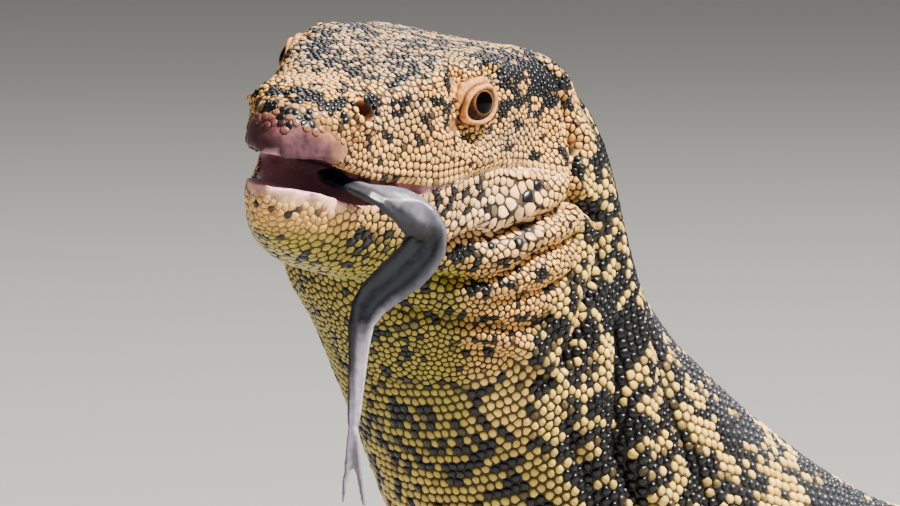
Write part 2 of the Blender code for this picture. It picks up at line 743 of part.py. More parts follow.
def claw_rings(tip, along, up, grow=0.0):
    """A hooked claw, deep at its root and bent down to a blunt point."""
    side = along.cross(up).normalized()
    rings = []
    spans = 3
    for i in range(spans + 1):
        share = i / spans
        ahead = CLAW_LENGTH * share - (CLAW_ROOT + grow)
        drop = CLAW_HOOK * share * share
        tall = (CLAW_RADIUS + grow) * (1.0 - CLAW_TAPER[0] * share)
        wide = (CLAW_RADIUS * CLAW_SLIM + grow) * (1.0 - CLAW_TAPER[1] * share)
        middle = tip + along * ahead - up * drop
        rings.append(oval(middle, side, up, wide, tall, tall, count=6))
    return rings


def digit_stops(root, direction, length):
    """A digit that leaves the palm, arches a little and rests its tip on the floor."""
    up = Vector((0.0, 0.0, 1.0))
    rest = DIGIT_RADIUS - FLAT
    stops = []
    for share, lift, size in DIGIT_ARCH:
        point = root + direction * (length * share)
        point = Vector((point.x, point.y, 0.0)) + up * (rest * size + lift)
        stops.append((point, DIGIT_RADIUS * size * DIGIT_SLIM, DIGIT_RADIUS * size))
    return stops


def make_foot(end, side, hand):
    rows, digits, turn, pad = ((FRONT_LEG, HAND_DIGITS, HAND_TURN, PALM) if end == "front"
                               else (HIND_LEG, FOOT_DIGITS, FOOT_TURN, SOLE))
    label = end + "_" + side
    up = Vector((0.0, 0.0, 1.0))
    stops = leg_points(rows, hand, STEPS[label])
    ankle = stops[-1][0]
    angle = math.radians(turn)
    ahead = Vector((-math.cos(angle), hand * math.sin(angle), 0.0))
    across = Vector((-ahead.y, ahead.x, 0.0)) * -hand
    middle = Vector((ankle.x, ankle.y, pad[2] - FLAT)) + ahead * (pad[0] * PAD_AHEAD)
    pieces = [leg_tube("wrist_form", stops, 3),
              ball("palm_form", middle, pad, (ahead, across, up))]
    claws = []
    for number, (length, spread) in enumerate(digits):
        fan = math.radians(spread)
        direction = ahead * math.cos(fan) + across * math.sin(fan)
        reach = DIGIT_ROOTS[0] if abs(spread) < SPREAD else DIGIT_ROOTS[1]
        share, widening = DIGIT_ROW
        root = (middle + ahead * (pad[0] * reach * math.cos(fan))
                + across * (pad[1] * share * math.sin(fan * widening)))
        line = digit_stops(root, direction, length + pad[0] * DIGIT_INSIDE)
        pieces.append(tube("digit_form", line, count=12))
        claws.append((number, line[-1][0] + up * CLAW_RISE, direction))
    name = ("hand_" if end == "front" else "foot_") + side
    whole = grow_together(name + "_form", pieces, VOXEL["foot"], TRIANGLES["foot"])
    cut_away(whole, wrist_slab(label + "_foot", stops))
    cut_away(whole, floor_cutter())
    for number, tip, direction in claws:
        socket = loft("claw_socket_%s_%d" % (label, number + 1),
                      claw_rings(tip, direction, up, CLEARANCE), "cutters")
        cut_away(whole, as_cutter(socket))
        claw = loft("claw_%s_%d" % (label, number + 1), claw_rings(tip, direction, up),
                    "water_monitor")
        finish(claw, "claw")
    part(whole, {name: middle}, "hide")


def clear_scene():
    for piece in list(bpy.data.objects):
        bpy.data.objects.remove(piece)


def build():
    clear_scene()
    make_head_and_neck()
    make_tongue()
    make_body()
    make_tail()
    for end in ("front", "hind"):
        for side, hand in sides():
            make_foot(end, side, hand)


build()
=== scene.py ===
"""A water monitor lizard, life size, as a still museum model: one skin, a coat of solid
scales over it, two eyes, a forked tongue and twenty claws."""

import itertools
import math

import bmesh
import bpy
import numpy as np
from mathutils import Matrix, Vector, noise
from mathutils.bvhtree import BVHTree
from mathutils.kdtree import KDTree


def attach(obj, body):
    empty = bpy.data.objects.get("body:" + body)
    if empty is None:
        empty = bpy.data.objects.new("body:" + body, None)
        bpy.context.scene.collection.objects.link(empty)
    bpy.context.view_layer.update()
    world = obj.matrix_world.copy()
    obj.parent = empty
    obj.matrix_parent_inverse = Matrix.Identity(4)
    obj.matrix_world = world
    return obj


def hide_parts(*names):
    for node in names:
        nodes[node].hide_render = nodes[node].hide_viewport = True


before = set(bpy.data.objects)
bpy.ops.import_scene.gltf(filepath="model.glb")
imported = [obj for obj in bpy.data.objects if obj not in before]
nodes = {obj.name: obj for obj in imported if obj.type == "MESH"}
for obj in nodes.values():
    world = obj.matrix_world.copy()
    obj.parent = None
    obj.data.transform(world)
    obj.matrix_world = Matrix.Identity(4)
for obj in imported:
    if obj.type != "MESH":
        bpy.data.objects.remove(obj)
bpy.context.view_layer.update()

# ==== The skin =============================================================================
# One soft hide over the whole animal, from the lips to the tip of the tail.  On a museum
# model it is a cast of flexible resin: it is grown here as one closed surface over the solid
# body, and lies inside it by the depth of the scales.

MM = 0.001
BETWEEN_EYES = np.array((-0.68166, -0.020, 0.315))
HEAD_TURN = math.radians(17.0)  # to the animal's left
HEAD_ROLL = math.radians(11.0)  # the left side lower
LEVEL_LEFT = np.array((math.sin(HEAD_TURN), -math.cos(HEAD_TURN), 0.0))
UPRIGHT = np.array((0.0, 0.0, 1.0))
HEAD_AXES = np.array((
    (-math.cos(HEAD_TURN), -math.sin(HEAD_TURN), 0.0),
    LEVEL_LEFT * math.cos(HEAD_ROLL) - UPRIGHT * math.sin(HEAD_ROLL),
    UPRIGHT * math.cos(HEAD_ROLL) + LEVEL_LEFT * math.sin(HEAD_ROLL),
))

# The spine from inside the head to the root of the tail, in millimetres: x behind the eyes,
# y to the right of the midline, height, half width, half height of the body there
SPINE_ROWS = [
    (22, -9, 304, 28, 29), (36, -6, 286, 34, 38), (60, -2, 251, 34.5, 37),
    (97, 0, 210, 40.5, 43.5), (160, 0, 164, 55, 52), (240, 0, 140, 60, 54),
    (330, 0, 122, 63, 53), (420, 0, 108, 55, 48), (480, 0, 99, 46, 43), (540, 2, 81, 33, 38),
]
TAIL_SPANS = 10
TAIL_LENGTH = 880
TAIL_TIP = (2.2, 3.2)  # half width and half height
TAIL_SWAY = 34
root_x, root_y, root_z, root_wide, root_tall = SPINE_ROWS[-1]
for span in range(1, TAIL_SPANS + 1):
    gone = span / TAIL_SPANS
    tall = TAIL_TIP[1] + (root_tall - TAIL_TIP[1]) * (1 - gone) ** 1.25
    SPINE_ROWS.append((
        root_x + TAIL_LENGTH * gone,
        root_y + TAIL_SWAY * math.sin(gone * 1.7 * math.pi) * (0.4 + gone),
        tall - 0.8 + (root_z - root_tall) * max(0.0, 1 - gone / 0.30) ** 2,
        TAIL_TIP[0] + (root_wide - TAIL_TIP[0]) * (1 - gone) ** 1.75, tall))

# Legs: x behind the eyes, out from the midline, height, radius of the limb; and the side
# each is on and how far its foot is stepped back
FRONT_ROWS = ((158, 26, 150, 27), (171, 58, 122, 20.5), (184, 86, 92, 15.5),
              (176, 91, 62, 16), (163, 95, 24, 10.5), (155, 96, 11, 10))
HIND_ROWS = ((476, 22, 92, 33), (456, 62, 88, 27), (438, 99, 78, 19), (463, 106, 54, 19),
             (492, 113, 22, 11.5), (488, 115, 11, 11))
LEGS = ((FRONT_ROWS, -1, -18), (FRONT_ROWS, 1, 16), (HIND_ROWS, -1, 20), (HIND_ROWS, 1, -18))

COAT_DEPTH = {"head": 0.40, "neck": 0.62, "trunk": 1.0, "tail": 0.8, "foot": 0.5}
NECK_ENDS = 2.9  # place on the spine where the neck meets the shoulders
FOLDS_END = 3.6  # place where its folds have died out
HIPS_END = 9.2  # place where the tail begins
TAIL_STARTS = 560.0  # millimetres along the spine
SKULL_SLANT = (0.924, 0.0, 0.383)  # the way from the neck into the skull
SKULL_ENDS = -46.8  # that way from the eyes' middle, in millimetres
ANKLE = 0.034  # height over the floor
LEG_MARGIN = 0.06  # how far from a leg's middle line its skin may lie
FOOT_REACH = (0.10, 0.06, 0.017)  # half sizes of the room a foot takes up
BLOCK = 20000  # points looked up at once


def curve(rows, places):
    """Rows of numbers at fractional places in a table, on a smooth curve through it."""
    rows = np.asarray(rows, float)
    first = np.minimum(places.astype(int), len(rows) - 2)
    t = (places - first)[..., None]
    before, start = rows[np.maximum(first - 1, 0)], rows[first]
    end, after = rows[first + 1], rows[np.minimum(first + 2, len(rows) - 1)]
    return 0.5 * (2 * start + (end - before) * t
                  + (2 * before - 5 * start + 4 * end - after) * t * t
                  + (3 * start - before - 3 * end + after) * t ** 3)


def unit(vectors):
    return vectors / np.maximum(np.linalg.norm(vectors, axis=-1, keepdims=True), 1e-12)


def step(low, high, value):
    """0 below low, 1 above high, and a soft rise between."""
    t = np.clip((value - low) / (high - low), 0.0, 1.0)
    return t * t * (3 - 2 * t)


def hump(value, middle, width):
    return np.exp(-((value - middle) / width) ** 2)


def blend(first, second, share):
    """The first where the share is 0 and the second where it is 1."""
    return first + (second - first) * share


def distance(points, place):
    return np.linalg.norm(points - place, axis=1)


def between(at, marks, values):
    """Places or directions known at some marks along a line, read between them."""
    return np.stack([np.interp(at, marks, values[:, k]) for k in range(3)], -1)


def to_head(points):
    """Millimetres ahead of, left of and above the middle of the eyes."""
    return (points - BETWEEN_EYES) @ HEAD_AXES.T / MM


def from_head(points):
    return BETWEEN_EYES + np.asarray(points, float) @ HEAD_AXES * MM


class Line:
    """A limb's or the body's middle line, with its directions and its size along it."""

    def __init__(self, rows, fine=20, right=None):
        self.places = np.linspace(0, len(rows) - 1, (len(rows) - 1) * fine + 1)
        table = curve(rows, self.places)
        self.middle = table[:, :3]
        self.wide = table[:, 3]
        self.tall = table[:, -1]
        self.along = unit(np.gradient(self.middle, axis=0))
        if right is None:
            self.side = unit(np.cross(self.along, UPRIGHT))
        else:
            self.side = unit(right - self.along * (self.along @ right)[:, None])
        self.up = np.cross(self.side, self.along)
        spans = np.linalg.norm(np.diff(self.middle, axis=0), axis=1)
        self.run = np.concatenate(([0.0], np.cumsum(spans)))

    def find(self, points):
        """Nearest sample and how far past it, in samples; distance as a share of the limb's
        size, and angle around it."""
        nearest = np.empty(len(points), int)
        middle = self.middle.astype(np.float32)
        for start in range(0, len(points), BLOCK):
            block = points[start:start + BLOCK].astype(np.float32)
            gap = (middle ** 2).sum(1) - 2 * block @ middle.T
            nearest[start:start + BLOCK] = gap.argmin(1)
        away = points - self.middle[nearest]
        pace = self.run[-1] / (len(self.run) - 1)
        past = np.clip((away * self.along[nearest]).sum(1) / pace, -0.5, 0.5)
        left = (away * self.side[nearest]).sum(1) / self.wide[nearest]
        high = (away * self.up[nearest]).sum(1) / self.tall[nearest]
        return nearest, past, np.hypot(left, high), np.arctan2(high, left)


def in_metres(rows, hand=1, back=0):
    """A table's rows in metres, its right side on one hand and its foot stepped back."""
    rows = np.array(rows, float)
    rows[:, 0] += back * np.minimum(np.arange(len(rows)) / 4, 1)
    rows[:, 1] *= hand
    return rows * MM + np.eye(1, rows.shape[1])[0] * BETWEEN_EYES[0]


spine = Line(in_metres(SPINE_ROWS))
legs = [Line(in_metres(rows, hand, back), 12, np.array((1.0, 0.0, 0.0)))
        for rows, hand, back in LEGS]


class Where:
    """What part of the animal each point belongs to, and where it lies on that part."""

    def __init__(self, points):
        self.points = points
        self.head = to_head(points)
        nearest, past, self.share, self.angle = spine.find(points)
        self.place = spine.places[nearest] + past * spine.places[1]
        self.run = spine.run[nearest] + past * spine.run[-1] / (len(spine.run) - 1)
        self.size = spine.wide[nearest]
        self.leg = np.full(len(points), -1)
        self.limb = np.zeros(len(points))  # 0 on the trunk, 1 on a leg
        self.limb_run = np.zeros(len(points))
        for number, leg in enumerate(legs):
            close = np.flatnonzero(((points > leg.middle.min(0) - LEG_MARGIN)
                                    & (points < leg.middle.max(0) + LEG_MARGIN)).all(1))
            at, past, share = leg.find(points[close])[:3]
            mine = step(0.85, 1.15, self.share[close] / np.maximum(share, 0.2)) * (share < 2.5)
            mine = np.where(leg.places[at] < 0.3, 0.0, mine)
            better = mine > self.limb[close]
            close = close[better]
            self.leg[close] = number
            self.limb[close] = mine[better]
            self.limb_run[close] = (leg.places[at] + past * leg.places[1])[better]
            self.size[close] = leg.wide[at][better]
            on_toes = (np.abs(points - leg.middle[-1]) < FOOT_REACH).all(1)
            self.leg[on_toes] = number
            self.limb[on_toes] = 1.0
            self.limb_run[on_toes] = leg.places[-1]
        self.skull = step(-4.0, 4.0, self.head @ SKULL_SLANT - SKULL_ENDS)
        self.foot = step(ANKLE, 0.022, points[:, 2]) * self.limb


def skin_depth(where):
    """How far the skin lies under the tips of the scales, in metres."""
    depth = np.where(where.place < NECK_ENDS, COAT_DEPTH["neck"], COAT_DEPTH["trunk"])
    for part, share in (("trunk", step(2.0, NECK_ENDS, where.place)),
                        ("tail", step(HIPS_END, 12.0, where.place)),
                        ("foot", step(0.09, 0.02, where.points[:, 2]) * where.limb),
                        ("head", where.skull)):
        depth = blend(depth, COAT_DEPTH[part], share)
    return depth * MM


def placed(name, data):
    """An object of the scene, made of a mesh, a lamp or a camera."""
    piece = bpy.data.objects.new(name, data)
    bpy.context.scene.collection.objects.link(piece)
    return piece


def merged_copy(name, members):
    """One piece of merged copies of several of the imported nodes."""
    shape = bmesh.new()
    for member in members:
        shape.from_mesh(nodes[member].data)
    bmesh.ops.remove_doubles(shape, verts=shape.verts, dist=0.000002)
    mesh = bpy.data.meshes.new(name)
    shape.to_mesh(mesh)
    shape.free()
    return placed(name, mesh)


def rows_of(items, field, kind=float, width=3):
    """One field of a mesh's points, edges or triangles, a row for each."""
    flat = np.empty(len(items) * width, kind)
    items.foreach_get(field, flat)
    return flat.reshape(-1, width)


def places_of(piece):
    return rows_of(piece.data.vertices, "co")


def normals_of(piece):
    return rows_of(piece.data.vertex_normals, "vector")


def move_to(piece, points):
    piece.data.vertices.foreach_set("co", np.ascontiguousarray(points, float).ravel())
    piece.data.update()


def settled(piece):
    """Turns a piece's modifiers into plain mesh."""
    shown = piece.evaluated_get(bpy.context.evaluated_depsgraph_get())
    mesh = bpy.data.meshes.new_from_object(shown)
    piece.modifiers.clear()
    piece.vertex_groups.clear()
    piece.data = mesh
    mesh.name = piece.name


def grown(name, members, swell, voxel):
    """One closed surface over several nodes, their thin cuts closed."""
    piece = merged_copy(name, members)
    move_to(piece, places_of(piece) + normals_of(piece) * swell)
    remesh = piece.modifiers.new("one surface", "REMESH")
    remesh.mode = "VOXEL"
    remesh.voxel_size = voxel
    settled(piece)
    return piece


def soften(piece, weight, rounds, back=0.0):
    """Smooths a surface; with a step back after each round it keeps its size."""
    points = places_of(piece)
    a, b = rows_of(piece.data.edges, "vertices", int, 2).T
    count = len(points)
    links = np.bincount(a, minlength=count) + np.bincount(b, minlength=count)
    for factor in ((0.5, back) if back else (0.5,)) * rounds:
        mean = np.stack([np.bincount(a, points[b, k], count)
                         + np.bincount(b, points[a, k], count) for k in range(3)], 1)
        points += (weight * factor)[:, None] * (mean / links[:, None] - points)
    move_to(piece, points)


FLESH = sorted(name for name in nodes
               if not name.startswith(("eye_", "claw_")) and name != "tongue")
SKIN_VOXEL = 1.25 * MM
SWELL = 0.28 * MM  # closes the thin cuts between the nodes
SKIN_TRIANGLES = 150000
STOUT = 45 * MM  # half width of body from which the skin is fully eased
skin = grown("skin", FLESH + ["eye_left", "eye_right"], SWELL, SKIN_VOXEL)
where = Where(places_of(skin))
soften(skin, np.ones(len(where.place)), 8, -0.53)
ease = np.clip(where.size / STOUT, 0, 1) ** 2 * (1 - where.skull) * (1 - where.foot)
ankle = 0.6 * where.limb * hump(where.points[:, 2], ANKLE, 0.010)
soften(skin, np.maximum(ease, ankle), 60)
soften(skin, where.skull * 0.8, 6, -0.50)

# The trunk, tail and legs keep fewer faces than the head and neck
plain = (where.place > NECK_ENDS) & (where.skull < 0.01)
skin.vertex_groups.new(name="plain").add(np.flatnonzero(plain).tolist(), 1.0, "REPLACE")
thin = skin.modifiers.new("thin out", "DECIMATE")
thin.ratio = SKIN_TRIANGLES / (2.0 * len(skin.data.polygons))
thin.vertex_group = "plain"
settled(skin)

EYE = np.array((-2.2, 19.4, 0.1))  # ahead of, beside and above the eyes' middle
EYE_RADIUS = 6.5
CORNEA = (0.62, 0.70)  # how far it bulges, and its width in radians
GAZE = unit(np.array((0.40, 0.88, 0.18)))
EYE_FACES = unit(np.array((0.28, 0.95, 0.12)))  # the opening between the lids
EYE_SLANT = math.radians(27.0)  # the back corner of the opening higher
EYE_OPENING = (4.7, 3.5)  # half length, half height
EYE_MIDDLE = (0.8, -0.1)  # of the opening, ahead of and above where it faces
LID_RISE = 0.50  # of the lids' outside over the eyeball
LID_BACK = 1.2  # how deep the skin lies behind the eyeball's front
# Rings of the lids round the opening: height, how far outside it, and width
LID_RINGS = ((0.32, 0.75, 0.55), (-0.55, 1.7, 0.32))
RINGS_ABOVE = ((0.45, 2.9, 0.8), (-0.55, 4.4, 0.35))
RINGS_BELOW = ((0.35, 2.5, 0.5), (-0.45, 3.4, 0.35))
PLEATS = (2.4, 1.6)  # where the lids' finest pleats are, and how wide
PLEAT = 0.85  # from one pleat to the next
NOSTRIL = np.array((37.9, 12.9, -0.9))  # middle of its opening
NOSTRIL_FACES = unit(np.array((0.30, 0.80, 0.50)))
NOSTRIL_SIZE = 2.7  # half width
NOSTRIL_DEPTH = 4.2
NOSTRIL_SILL = np.array((37.5, 15.0, -4.8))  # a swelling under it
EAR = np.array((-42.0, 31.0, -10.5))


def to_hand(hand):
    """Turns places beside the head over to the right where the hand is -1."""
    return np.stack([np.ones(len(hand)), hand, np.ones(len(hand))], 1)


def both_sides(head):
    """Places in the head with the right side folded over onto the left."""
    return head * to_hand(np.sign(head[:, 1]) + (head[:, 1] == 0))


# Faces round the eyes and nostrils are divided once more, twice where it is finest
for middle, reach in ((EYE, 13.0), (EYE, 8.6), (NOSTRIL, 7.0), (NOSTRIL, 4.6)):
    shape = bmesh.new()
    shape.from_mesh(skin.data)
    near = (distance(both_sides(to_head(places_of(skin))), middle) < reach).tolist()
    edges = [edge for edge in shape.edges if all(near[end.index] for end in edge.verts)]
    bmesh.ops.subdivide_edges(shape, edges=edges, cuts=1, use_grid_fill=True)
    bmesh.ops.triangulate(shape, faces=[face for face in shape.faces if len(face.verts) > 4])
    shape.to_mesh(skin.data)
    shape.free()
soften(skin, Where(places_of(skin)).skull * 0.6, 2, -0.5)


def line_distance(points, line):
    """Distance of each point from a bent line given by its corners."""
    line = np.asarray(line, float)
    best = np.full(len(points), 1e9)
    for start, end in zip(line, line[1:]):
        along = end - start
        t = np.clip(((points - start) @ along) / (along @ along), 0, 1)
        best = np.minimum(best, distance(points, start + t[:, None] * along))
    return best


def felt(points, line, width):
    """1 on a bent line, falling to 0 beside it."""
    return hump(line_distance(points, line), 0.0, width)


def ringed(outside, rings):
    """Height of some rings round the eye's opening."""
    return sum(height * hump(outside, middle, width) for height, middle, width in rings)


def eyeball_radius(out):
    """Size of the eyeball in each direction: round, with the cornea's bulge."""
    turned = np.arccos(np.clip(out @ GAZE, -1, 1))
    return EYE_RADIUS + CORNEA[0] * hump(turned, 0.0, CORNEA[1])


def lid_map(mirrored):
    """How far outside the eye's opening each point lies, along the eyeball; 1 above the
    opening and 0 beside and below it; and how far from the eye's middle."""
    out = unit(mirrored - EYE)
    ahead = unit(np.array((1.0, 0, 0)) - EYE_FACES * EYE_FACES[0])
    high = np.cross(EYE_FACES, ahead)
    high = high * np.sign(high[2])
    reach = EYE_RADIUS + CORNEA[0]
    p = reach * np.arcsin(np.clip(out @ ahead, -1, 1)) - EYE_MIDDLE[0]
    q = reach * np.arcsin(np.clip(out @ high, -1, 1)) - EYE_MIDDLE[1]
    long = p * math.cos(EYE_SLANT) - q * math.sin(EYE_SLANT)
    short = p * math.sin(EYE_SLANT) + q * math.cos(EYE_SLANT)
    outside = (np.hypot(long / EYE_OPENING[0], short / EYE_OPENING[1]) - 1) \
        * sum(EYE_OPENING) / 2
    outside = np.where(out @ EYE_FACES < 0.1, 20.0, outside)
    above = step(0.35, 0.9, short / (np.abs(long) + 1.0))
    return outside, above, distance(mirrored, EYE)


# Ridges (+) and creases (-) of the head, as lines ahead of, left of and above the eyes'
# middle: height and width first
HEAD_LINES = (
    (0.7, 1.8, ((17, 16, 5), (12, 18.5, 6.5), (5, 20.5, 8), (-3, 21.5, 8.6), (-10, 22.5, 7.5),
                (-14, 23.5, 5))),
    (-0.7, 1.0, ((15, 19.5, 3), (9, 21.5, 4.2), (3, 22.5, 6.2), (-4, 23.5, 6.8),
                 (-10, 24.5, 5.2))),
    (-0.6, 1.0, ((20, 17.5, 3), (15, 20, 0), (11, 22, -5), (4, 23.5, -8), (-5, 25.5, -9.5),
                 (-13, 26.5, -8))),
    (0.45, 1.6, ((14, 20.5, -6), (6, 23, -10.5), (-4, 25.5, -12), (-14, 27, -10.5))),
    (-0.5, 1.1, ((30, 16, -6.5), (22, 19, -8), (14, 21.5, -9))),
    (-0.6, 0.9, ((52, 4, -4), (49, 8, -5), (45.5, 10.5, -7), (42, 12.8, -8))),
    (-0.9, 1.2, ((50, 2, -0.2), (47, 4.2, 0.4), (43.5, 5.6, 1.6))),
    (-0.5, 0.7, ((46, 8.5, 0), (44.6, 9.6, -3), (43, 12, -5.5))),
    (-0.45, 0.7, ((43.5, 10.5, 1), (42.6, 11.7, -1.5), (41.5, 13.2, -4))),
    (-0.8, 1.1, ((-30, 28, -17), (-34, 30, -19), (-37, 31, -23))),
)
BROW_NOTCH = (3.1, 0.55)  # between the notches that divide the brow; depth
RIPPLES = (3.1, 37.0, 0.35)  # of loose skin: pace, how it wanders, height
# The mouth's closed part: a groove from where the lips meet to behind the eye
LIP_LINE = ((9, 22.5, -18.9), (4, 23.8, -17.5), (-3, 25.2, -15.6), (-12, 26.6, -14.1),
            (-21, 28.1, -14.4), (-29, 29.7, -14.9), (-35, 30.8, -15.4))

# Folds of the neck on both sides: height and width, then corners as x behind the eyes, out
# from the midline, above the floor
NECK_FOLDS = (
    (-3.8, 1.7, ((5, 35, 278), (15, 35.5, 280.5), (19, 37, 280), (26, 39, 282),
                 (34, 41, 284), (42, 40.5, 286), (45.5, 40, 289))),
    (0.9, 2.4, ((3, 32, 283), (14, 36, 285), (25, 39.5, 286), (34, 41, 288.5), (41, 40, 291))),
    (1.0, 2.0, ((8, 31, 274.5), (20, 36.5, 275.5), (30, 40, 279), (40, 41, 282))),
    (-2.6, 1.4, ((8, 27, 270.5), (16, 33, 270), (20, 36, 270), (27, 39, 273), (32, 40, 276),
                 (39, 41, 277), (47, 40, 279))),
    (0.9, 1.6, ((10, 29, 267), (20, 35, 267), (28, 38.5, 269.5), (36, 39.5, 272.5))),
    (-1.8, 1.3, ((20, 35, 265), (25, 37, 265.5), (30, 38, 266), (36, 39, 267), (44, 39, 270))),
    (-1.6, 1.8, ((8, 18, 263), (19, 31, 260.5), (30, 35, 258), (38, 37, 260))),
    (1.0, 2.2, ((19, 27.5, 257.5), (25, 32, 257), (33, 33.5, 254), (37, 34, 251.5),
                (41, 34.5, 250))),
    (-2.6, 1.6, ((19, 27, 253.5), (25, 31, 252.5), (33, 33, 250), (38, 34, 247.5),
                 (43, 34.5, 245))),
    (-4.6, 2.0, ((45, 39, 289), (51.5, 38, 285.5), (57.5, 37, 282.5), (58.5, 36.5, 276),
                 (56.5, 37, 269), (52.5, 37.5, 263), (51, 37, 256.5), (48.5, 36.5, 253),
                 (47, 36, 249.5))),
    (1.6, 3.4, ((55, 35.5, 303), (60, 35, 292), (66, 34, 281), (70, 33.5, 271), (74, 33, 264),
                (76, 34, 255), (76, 36, 243), (72.5, 37, 234), (72, 37, 224), (80, 38, 215))),
    (1.2, 2.4, ((51, 38.5, 280), (50, 38.5, 273), (46, 38.5, 266), (44, 38, 258))),
    (1.2, 2.2, ((56, 36.5, 256), (60, 36.5, 249.5), (60, 36.5, 243), (57.5, 36, 239.5))),
    (-3.8, 2.2, ((66.5, 36, 256), (66.5, 36.5, 243), (65.5, 36, 229), (70, 36.5, 220),
                 (80, 38, 206))),
    (-4.4, 1.7, ((42, 33, 318), (44.5, 36, 314), (45.5, 36.5, 310), (48, 36, 303),
                 (47, 38, 296), (46, 39.5, 289))),
    (1.0, 2.6, ((38, 34, 313), (41, 36, 303), (40, 38.5, 296))),
    (-2.0, 2.6, ((82, 30, 262), (86, 33, 248), (86, 35, 236), (90, 36, 224), (99, 38, 208))),
    (-1.8, 2.2, ((50, 30, 238), (56, 33, 226), (62, 34, 214), (72, 36, 200))),
)


def nostril_ring(mirrored):
    """Distance from the middle of the nostril as a share of its half width."""
    away = mirrored - NOSTRIL
    flat = away - (away @ NOSTRIL_FACES)[:, None] * NOSTRIL_FACES
    return np.where(distance(mirrored, NOSTRIL) < 9, np.linalg.norm(flat, axis=1), 99.0) \
        / NOSTRIL_SIZE


def neck_places(points):
    """Millimetres behind the eyes, out from the midline and above the floor."""
    return np.stack([points[:, 0] - BETWEEN_EYES[0], np.abs(points[:, 1]), points[:, 2]],
                    1) / MM


def lines_felt(where, below=math.inf):
    """Height of each ridge and crease of the head and neck that is under a set height, the
    points near it, and how strongly they feel it."""
    for lines, places, near in (
            (HEAD_LINES, both_sides(where.head), where.skull > 0.01),
            (NECK_FOLDS, neck_places(where.points), where.place < FOLDS_END)):
        for height, width, line in lines:
            if height < below:
                yield height, near, felt(places[near], line, width)


def sculpted(points, normals):
    """Lids, brows, nostrils, the line of the lips and the folds, pressed into the skin."""
    where = Where(points)
    mirrored = both_sides(where.head)
    rise = np.zeros(len(points))
    for height, near, share in lines_felt(where):
        rise[near] += height * share
    brow = line_distance(mirrored, HEAD_LINES[0][2])
    notch = np.maximum(0, np.cos(mirrored[:, 0] * 2 * math.pi / BROW_NOTCH[0])) ** 4
    rise -= BROW_NOTCH[1] * notch * hump(brow, 1.0, 1.6) * (where.skull > 0.01)
    rise -= felt(mirrored, LIP_LINE, 0.75)
    ring = nostril_ring(mirrored)
    rise += 0.75 * hump(ring, 1.40, 0.32)
    rise += 0.9 * hump(distance(mirrored, NOSTRIL_SILL), 0.0, 2.2)
    ear = distance(mirrored, EAR)
    rise += 0.5 * hump(ear, 5.0, 1.2) - 2.2 * step(4.2, 1.2, ear)
    # loose skin: soft ripples across the neck's sides, the flanks and the limbs' roots
    run = where.run / MM
    ripple = np.sin(run / RIPPLES[0] + 2.0 * np.sin(where.angle * 2 + run / RIPPLES[1]))
    flank = step(0.75, 0.2, 1 - np.abs(np.cos(where.angle)))
    loose = flank * step(2.4, 3.4, where.place) * step(9.5, 8.0, where.place)
    rise += RIPPLES[2] * ripple * loose
    inward = to_hand(np.sign(where.head[:, 1])) * -NOSTRIL_FACES @ HEAD_AXES
    points = points + (normals * rise[:, None]
                       + inward * NOSTRIL_DEPTH * step(1.05, 0.6, ring)[:, None]) * MM

    # the lids over the eyeball, and the opening between them
    head = to_head(points)
    mirrored = both_sides(head)
    outside, above, far = lid_map(mirrored)
    out = unit(mirrored - EYE)
    pleats = hump(outside, *PLEATS) * np.cos(outside * 2 * math.pi / PLEAT)
    over = ringed(outside, RINGS_ABOVE) + 0.9 * step(4.4, 5.4, outside)
    radius = (eyeball_radius(out) + blend(-LID_BACK, LID_RISE, step(-0.35, 0.25, outside))
              + ringed(outside, LID_RINGS) - 0.10 * pleats
              + blend(ringed(outside, RINGS_BELOW), over, above))
    lid = step(6.2, 3.8, outside) * (far < 13)
    shift = (EYE + out * radius[:, None] - mirrored) * lid[:, None]
    return points + shift * to_hand(np.sign(head[:, 1])) @ HEAD_AXES * MM


# The edges of the lips: place ahead of the eyes, upper edge, lower edge, half width there
LIPS = np.array(((-40, -16.2, -16.6, 29), (-26, -14.6, -15.0, 28.2), (-13, -13.8, -14.2, 26.2),
                 (-5, -15.0, -15.4, 25.0), (3, -17.0, -17.8, 23.6), (12, -18.0, -19.6, 21.3),
                 (25, -17.5, -22.4, 17.3), (34, -16.5, -22.6, 14.9), (44, -14.2, -20.3, 11.6),
                 (49, -13.0, -19.6, 9.6), (55, -13.2, -19.2, 5.2), (58, -13.3, -19.1, 2)))
MOUTH = (np.array((22.0, 0.0, -18.0)), np.array((29.9, 12.4, 8.9)))  # hollow behind the lips
MOUTH_CORNER = 4.0  # how far ahead of the eyes the lips meet
LID_WIDTH = (2.1, 2.0)  # below the eye, and how much more above it
DEEP = -3.5  # folds pressed further in than this hide no scales


def grain(points, size, offset=0.0):
    """Soft noise over the animal's surface, about -1 to 1."""
    scaled = (points / (size * MM) + offset).tolist()
    return 1.7 * np.array([noise.noise(point) for point in scaled])


def patch(points, middle, reach):
    """1 at a middle, falling to 0 about as far away as the reach each way."""
    return np.exp(-(((points - np.array(middle)) / np.array(reach)) ** 2).sum(1))


def lips_beside(head):
    """Heights of the upper and lower lip's edge beside each point, and the half width."""
    return [np.interp(head[:, 0], LIPS[:, 0], LIPS[:, column]) for column in (1, 2, 3)]


def in_mouth(head):
    """True inside the mouth and between the lips."""
    upper, lower, half = lips_beside(head)
    inner = np.where(np.abs(head[:, 1]) < half - 0.9, 1.5, 0.15)
    open_lips = (head[:, 2] < upper + inner) & (head[:, 2] > lower - inner) \
        & (head[:, 0] > MOUTH_CORNER)
    return open_lips | (distance(head / MOUTH[1], MOUTH[0] / MOUTH[1]) < 1.0)


